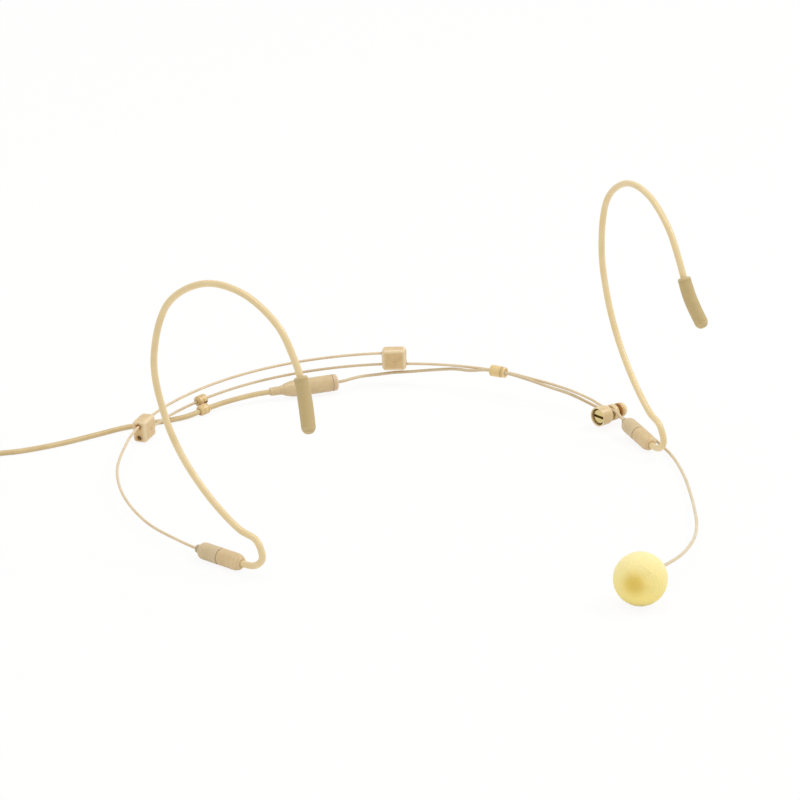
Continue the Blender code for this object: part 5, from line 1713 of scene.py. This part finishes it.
@dataclass
class Boom:
    """The boom: a fixed lead from the connector to the clamp, and the arm that swings in the clamp."""

    skeleton: Skeleton
    lead_line: tuple = (
        (57.1, 2.6, 3.25),
        (52.1, 0.3, 3.1),
        (48.4, -0.5, 3.4),
        (44.9, -0.4, 3.8),
        (39.6, -0.3, 4.7),
    )
    beside: tuple = ((34.0, -90.0), (29.5, -42.0), (25.0, 12.0), (19.0, 12.0))
    run_leans: tuple = (2.0, -35.0, -80.0)
    by_ear: tuple = (
        (-18.6, 3.1, -0.2),
        (-14.1, 3.45, -0.3),
        (-6.5, 3.7, -0.6),
        (1.7, 3.35, -1.0),
        (9.8, 1.85, -1.0),
    )
    arm_line: tuple = (
        (60.1, -13.6, 1.3),
        (53.4, -23.6, 1.5),
        (46.3, -33.4, 1.9),
        (38.6, -43.1, 2.5),
        (29.6, -52.1, 3.4),
        (18.1, -60.3, 4.8),
    )
    straight: float = 2.6
    join: float = 0.15
    into_nose: float = 1.5
    ball_entry: float = 7.65
    socket_depth: float = 1.9
    round_off: float = 0.05
    step: float = 0.7

    def lead(self) -> Array:
        """Follow the lead from the connector, beside the lower wire, to the clamp.

        Beside the wire it is a lead's spacing away, in a direction that leans above or below the line
        to the neckband's centre.

        Returns:
            Points along the lead.
        """
        bones, spacing, nose = self.skeleton, self.skeleton.lead_spacing, self.skeleton.connector_length
        points = [bones.connector.moved(0.0, 0.0, nose + d).at for d in (-self.into_nose, self.into_nose)]
        points += [bones.beside_band(*p) for p in self.lead_line]
        for angle, lean in self.beside:
            tilt = math.radians(lean)
            level = spacing * math.sin(tilt) - bones.wire_spacing / 2
            points.append(bones.band_point(angle, level, spacing * math.cos(tilt)))
        for run, lean in zip(bones.right_run, self.run_leans):
            tilt = math.radians(lean)
            apart = -bones.band_axes(run[0])[1] * math.cos(tilt) + UP * math.sin(tilt)
            points.append(bones.run_point(bones.clamped_wire, *run) + apart * spacing)
        points += [bones.clamped_boom - bones.clamp.aside * d for d in (self.straight, self.join)]
        return flow(points, self.step)

    def arm(self) -> Array:
        """Follow the arm from the clamp, past the right ferrule, to the microphone's socket.

        Returns:
            Points along the arm.
        """
        bones, mic = self.skeleton, self.skeleton.microphone
        points = [bones.clamped_boom + bones.clamp.aside * d for d in (self.join, self.straight)]
        points += [bones.ear_point(Side.RIGHT, *p) for p in self.by_ear] + list(self.arm_line)
        points += [mic.moved(0.0, 0.0, -back).at for back in (self.ball_entry, self.socket_depth)]
        return flow(points, self.step)

    def build(self) -> None:
        """Make the lead and the arm."""
        dia, step, end = self.skeleton.boom_dia, self.step, self.round_off
        dress(wire("boom_lead_fine", self.lead(), dia, step, round_off=end), LEAD_VINYL)
        dress(wire("boom_fine", self.arm(), dia, step, round_off=end), BOOM_VINYL, Body.BOOM_ARM)


@dataclass
class Microphone:
    """The microphone: a turned capsule with a perforated grille, inside a ball of open-cell foam."""

    skeleton: Skeleton
    radius: float = 1.9
    capsule_back: float = 3.2
    capsule_front: float = 2.6
    grille_start: float = 2.9
    grille_end: float = 3.9
    grille_step: float = 0.06
    grille_sides: int = 120
    hole_rings: tuple = ((0.0, 1), (0.55, 6), (1.1, 12))
    hole_radius: float = 0.16
    hole_depth: float = 0.25
    face_depth: float = 0.05  # how far behind its front the grille's face still counts as front
    ball_radius: float = 6.65
    ball_rows: int = 150
    ball_sides: int = 240
    front_angle: float = 0.004  # where the skin starts beside the axis
    lip_angle: float = 0.05  # how far before the bore's mouth the skin stops
    bore: float = 2.2
    bore_floor: float = 4.4
    seed: int = 7
    waves: int = 90
    grinding: tuple = (((0.6, 1.3), 0.03), ((5.0, 9.0), 0.16))  # lengths and depth of the pits and the lumps
    spot_turn: float = math.radians(16.0)
    spot_side: Point = (0.4, -0.8, 0.4)

    @property
    def stand(self) -> Stand:
        """Stand of the microphone."""
        return self.skeleton.microphone

    def capsule(self) -> None:
        """Turn the capsule's can, with a rolled front edge and a tapered back."""
        r, back, front = self.radius, -self.capsule_back, self.capsule_front
        lip = front + 2 * GAP
        # the back, the groove and the front's inner lip are painted shade
        corners = [(0, back + 0.2, 0, 1.0), (0.5, back + 0.2, 0, 1.0), (0.55, back, 0.1)]
        corners += [(r - 0.6, back, 0.15), (r, back + 0.6, 0.2)]
        corners += [(r, front - 0.5, 0.1), (r - 0.12, front - 0.4, 0.05, 0.6)]
        corners += [(r - 0.12, front - 0.25, 0.05, 0.6), (r, front - 0.15, 0.1), (r, front, 0.1)]
        corners += [(r - 0.25, front, 0, 0.8), (r - 0.25, lip, 0, 0.8), (0, lip)]
        dress(turned("mic_capsule_fine", self.stand, corners), CAPSULE_STEEL, Body.BOOM_ARM)

    def grille(self) -> None:
        """Turn the grille, and press its holes.

        The front is a grid of rings and angles; its place along the axis drops by the hole's depth near
        each hole's middle, on a straight ramp.
        """
        r, start, end = self.radius, self.grille_start, self.grille_end
        corners = [(0, start), (r, start, 0.05), (r, end, 0.25), (0, end)]
        outline, angle = Profile.through(corners, self.grille_step), around(self.grille_sides)
        x, y = outline.radius[:, None] * np.cos(angle), outline.radius[:, None] * np.sin(angle)
        z = np.broadcast_to(outline.along[:, None], x.shape)
        # tone marks the pressed holes, which are also painted dark as shade inside them
        tone = np.zeros(x.shape)
        for reach, count in self.hole_rings:
            for turn in around(count):
                away = np.hypot(x - reach * math.cos(turn), y - reach * math.sin(turn))
                tone = np.maximum(tone, np.clip(2 - away / (self.hole_radius / 2), 0, 1))
        tone *= z > end - self.face_depth
        local = np.stack([x, y, z - self.hole_depth * tone], axis=-1)
        grille = skin("mic_grille_fine", self.stand.out(local), local, outline.edge, tone)
        dress(grille, GRILLE_STEEL, Body.BOOM_ARM)

    def ball(self) -> None:
        """Grind the foam ball, with its bore from behind.

        The outline is the bore, and then a circle from its mouth to the front.  The skin is moved inwards
        by sums of plane waves of seeded directions: short ones leave pits like open cells, and long ones
        the uneven grinding.
        """
        reach, bore = self.ball_radius, self.bore
        last = math.pi - math.asin(bore / reach) - self.lip_angle
        polar = np.linspace(self.front_angle, last, self.ball_rows)
        rim, floor = -math.sqrt(reach**2 - bore**2), self.bore_floor
        # the bore's lip and inside are painted shade
        lip = [(bore + 0.1, rim + 0.06, 1), (bore, rim + 0.3, 1), (bore, 0, 1)]
        lip += [(bore, floor, 1), (0.02, floor, 1)]
        circle = np.column_stack([reach * np.sin(polar), reach * np.cos(polar), 0 * polar])
        radius, along, bored = np.concatenate([circle, lip])[::-1].T
        angle = around(self.ball_sides)
        x, y = radius[:, None] * np.cos(angle), radius[:, None] * np.sin(angle)
        local = np.stack(np.broadcast_arrays(x, y, along[:, None]), axis=-1)
        chance = np.random.default_rng(self.seed)
        depth = np.zeros(x.shape)
        for size, share in self.grinding:
            headings = unit(chance.normal(size=(self.waves, 3)))
            numbers = 2 * math.pi / chance.uniform(*size, size=self.waves)
            phases = chance.uniform(0.0, 2 * math.pi, size=self.waves)
            wave = np.sin(local.reshape(-1, 3) @ (headings * numbers[:, None]).T + phases).sum(axis=1)
            depth += share * np.clip(wave / math.sqrt(self.waves), 0.0, 2.0).reshape(x.shape)
        local = local - (depth * (1 - bored[:, None]))[..., None] * unit(local)
        ball = skin("foam_windscreen_fine", self.stand.out(local), local, 0 * radius, bored)
        dress(ball, self.foam(), Body.WINDSCREEN)

    def foam(self) -> Finish:
        """Give the foam's finish, with the capsule's shadow near its front, a little to one side.

        Returns:
            The finish.
        """
        side = self.stand.back(self.stand.at + np.array(self.spot_side)) * (1.0, 1.0, 0.0)
        spot = np.array((0.0, 0.0, math.cos(self.spot_turn))) + unit(side) * math.sin(self.spot_turn)
        return replace(FOAM, spots=(tuple((spot * self.ball_radius).tolist()),))

    def build(self) -> None:
        """Make the microphone."""
        for make in (self.capsule, self.grille, self.ball):
            make()


@dataclass
class Studio:
    """A pale floor, soft lamps, a white surround and the camera at the photograph's angle, in metres."""

    floor_half: float = 2.0
    floor_ticks: int = 9
    floor_colour: str = "F4F3F0"
    shadow_share: float = 0.1
    surround: float = 0.74
    target: Point = (-0.00776, 0.00459, 0.02735)
    azimuth: float = -36.82
    elevation: float = 20.29
    roll: float = -0.42
    distance: float = 0.963
    focal_pixels: float = 3751.0
    frame_pixels: float = 800.0
    sensor_mm: float = 36.0
    clip_start: float = 0.01
    lamps: tuple = (  # name, place round the object, size and power
        ("key", (0.75, -0.35, 1.0), 0.5, 4.2),
        ("top", (-0.1, 0.15, 1.3), 0.7, 3.6),
    )

    def seen(self, tree: Tree) -> Socket:
        """Tell rays that show a surface to the camera, straight or by gloss or glass, from those that light.

        Args:
            tree: the nodes.

        Returns:
            One for a ray that shows the surface, and else zero.
        """
        path = add_node(tree, "ShaderNodeLightPath").outputs
        either = add_node(tree, "ShaderNodeMath", {0: path["Is Camera Ray"], 1: path["Is Glossy Ray"]})
        rays = {0: either.outputs[0], 1: path["Is Transmission Ray"]}
        return add_node(tree, "ShaderNodeMath", rays, use_clamp=True).outputs[0]

    def place(self, data: bpy.types.ID, stand: Stand) -> Thing:
        """Put a lamp or a camera on a stand, from where it looks against the stand's own Z.

        Args:
            data: the lamp or the camera.
            stand: its place and directions.

        Returns:
            The object.
        """
        obj = add_object(data.name, data)
        axes = np.column_stack([stand.across, stand.aside, stand.along, stand.at])
        obj.matrix_world = np.vstack([axes, (0.0, 0.0, 0.0, 1.0)]).T.tolist()
        return obj

    def floor(self) -> None:
        """Lay the floor as a flat grid, white to the camera but for a share of the object's shadow."""
        ticks = np.linspace(-self.floor_half, self.floor_half, self.floor_ticks)
        spots = np.stack(np.meshgrid(ticks, ticks, (0.0,), indexing="ij"), axis=-1).reshape(-1, 3)
        mesh = bpy.data.meshes.new("floor")
        mesh.from_pydata(spots.tolist(), [], grid_faces(self.floor_ticks, self.floor_ticks).tolist())
        material = bpy.data.materials.new("matt_paper")
        material.use_nodes = True
        tree = material.node_tree
        tree.nodes.clear()
        amount = {0: self.seen(tree), 1: 1 - self.shadow_share}
        share = add_node(tree, "ShaderNodeMath", amount, operation="MULTIPLY").outputs[0]
        paper = add_node(tree, "ShaderNodeBsdfDiffuse", {"Color": linear(self.floor_colour)}).outputs[0]
        white = add_node(tree, "ShaderNodeEmission", {"Strength": 1.0}).outputs[0]
        mix = add_node(tree, "ShaderNodeMixShader", {0: share, 1: paper, 2: white})
        add_node(tree, "ShaderNodeOutputMaterial", {"Surface": mix.outputs[0]})
        mesh.materials.append(material)
        add_object("floor", mesh)

    def light(self) -> None:
        """Hang the lamps and light the surround, which is white where it is seen."""
        for name, spot, size, power in self.lamps:
            data = bpy.data.lights.new(name, "AREA")
            data.shape, data.size, data.energy = "DISK", size, power
            self.place(data, Stand.facing(spot, spot, np.array((0.0, 1.0, 0.0))))
        world = bpy.data.worlds.new("surround")
        bpy.context.scene.world = world
        world.use_nodes = True
        tree, sky = world.node_tree, world.node_tree.nodes["Background"]
        amount = {"Value": self.seen(tree), "To Min": self.surround, "To Max": 1.0}
        sky.inputs["Color"].default_value = (1.0, 1.0, 1.0, 1.0)
        tree.links.new(add_node(tree, "ShaderNodeMapRange", amount).outputs[0], sky.inputs["Strength"])

    def camera(self) -> None:
        """Aim the camera at the target from its azimuth, elevation and distance, and roll it a little."""
        turn, rise, tip = (math.radians(angle) for angle in (self.azimuth, self.elevation, self.roll))
        back = np.array((math.sin(turn) * math.cos(rise), -math.cos(turn) * math.cos(rise), math.sin(rise)))
        level = np.array((math.cos(turn), math.sin(turn), 0.0))
        right = level * math.cos(tip) + np.cross(back, level) * math.sin(tip)
        data = bpy.data.cameras.new("camera")
        data.sensor_width, data.clip_start = self.sensor_mm, self.clip_start
        data.lens = self.focal_pixels / self.frame_pixels * self.sensor_mm
        spot = np.array(self.target) + back * self.distance
        bpy.context.scene.camera = self.place(data, Stand(spot, right, np.cross(back, right), back))

    def build(self) -> None:
        """Set up the studio."""
        for make in (self.camera, self.floor, self.light):
            make()
        bpy.context.scene.view_settings.view_transform = "Standard"


def main() -> None:
    """Build the studio, the cable and every sub-assembly."""
    logging.basicConfig(level=logging.INFO, format="%(message)s")
    skeleton = Skeleton()
    Studio().build()
    cable = Cable(skeleton)
    cable.build(Plug().build())
    Neckband(skeleton).build()
    WireFittings(skeleton).build(cable.route())
    Connector(skeleton).build()
    for side in Side:
        EarHook(skeleton, side).build()
    BoomClamp(skeleton).build()
    Boom(skeleton).build()
    Microphone(skeleton).build()


if __name__ == "__main__":
    main()
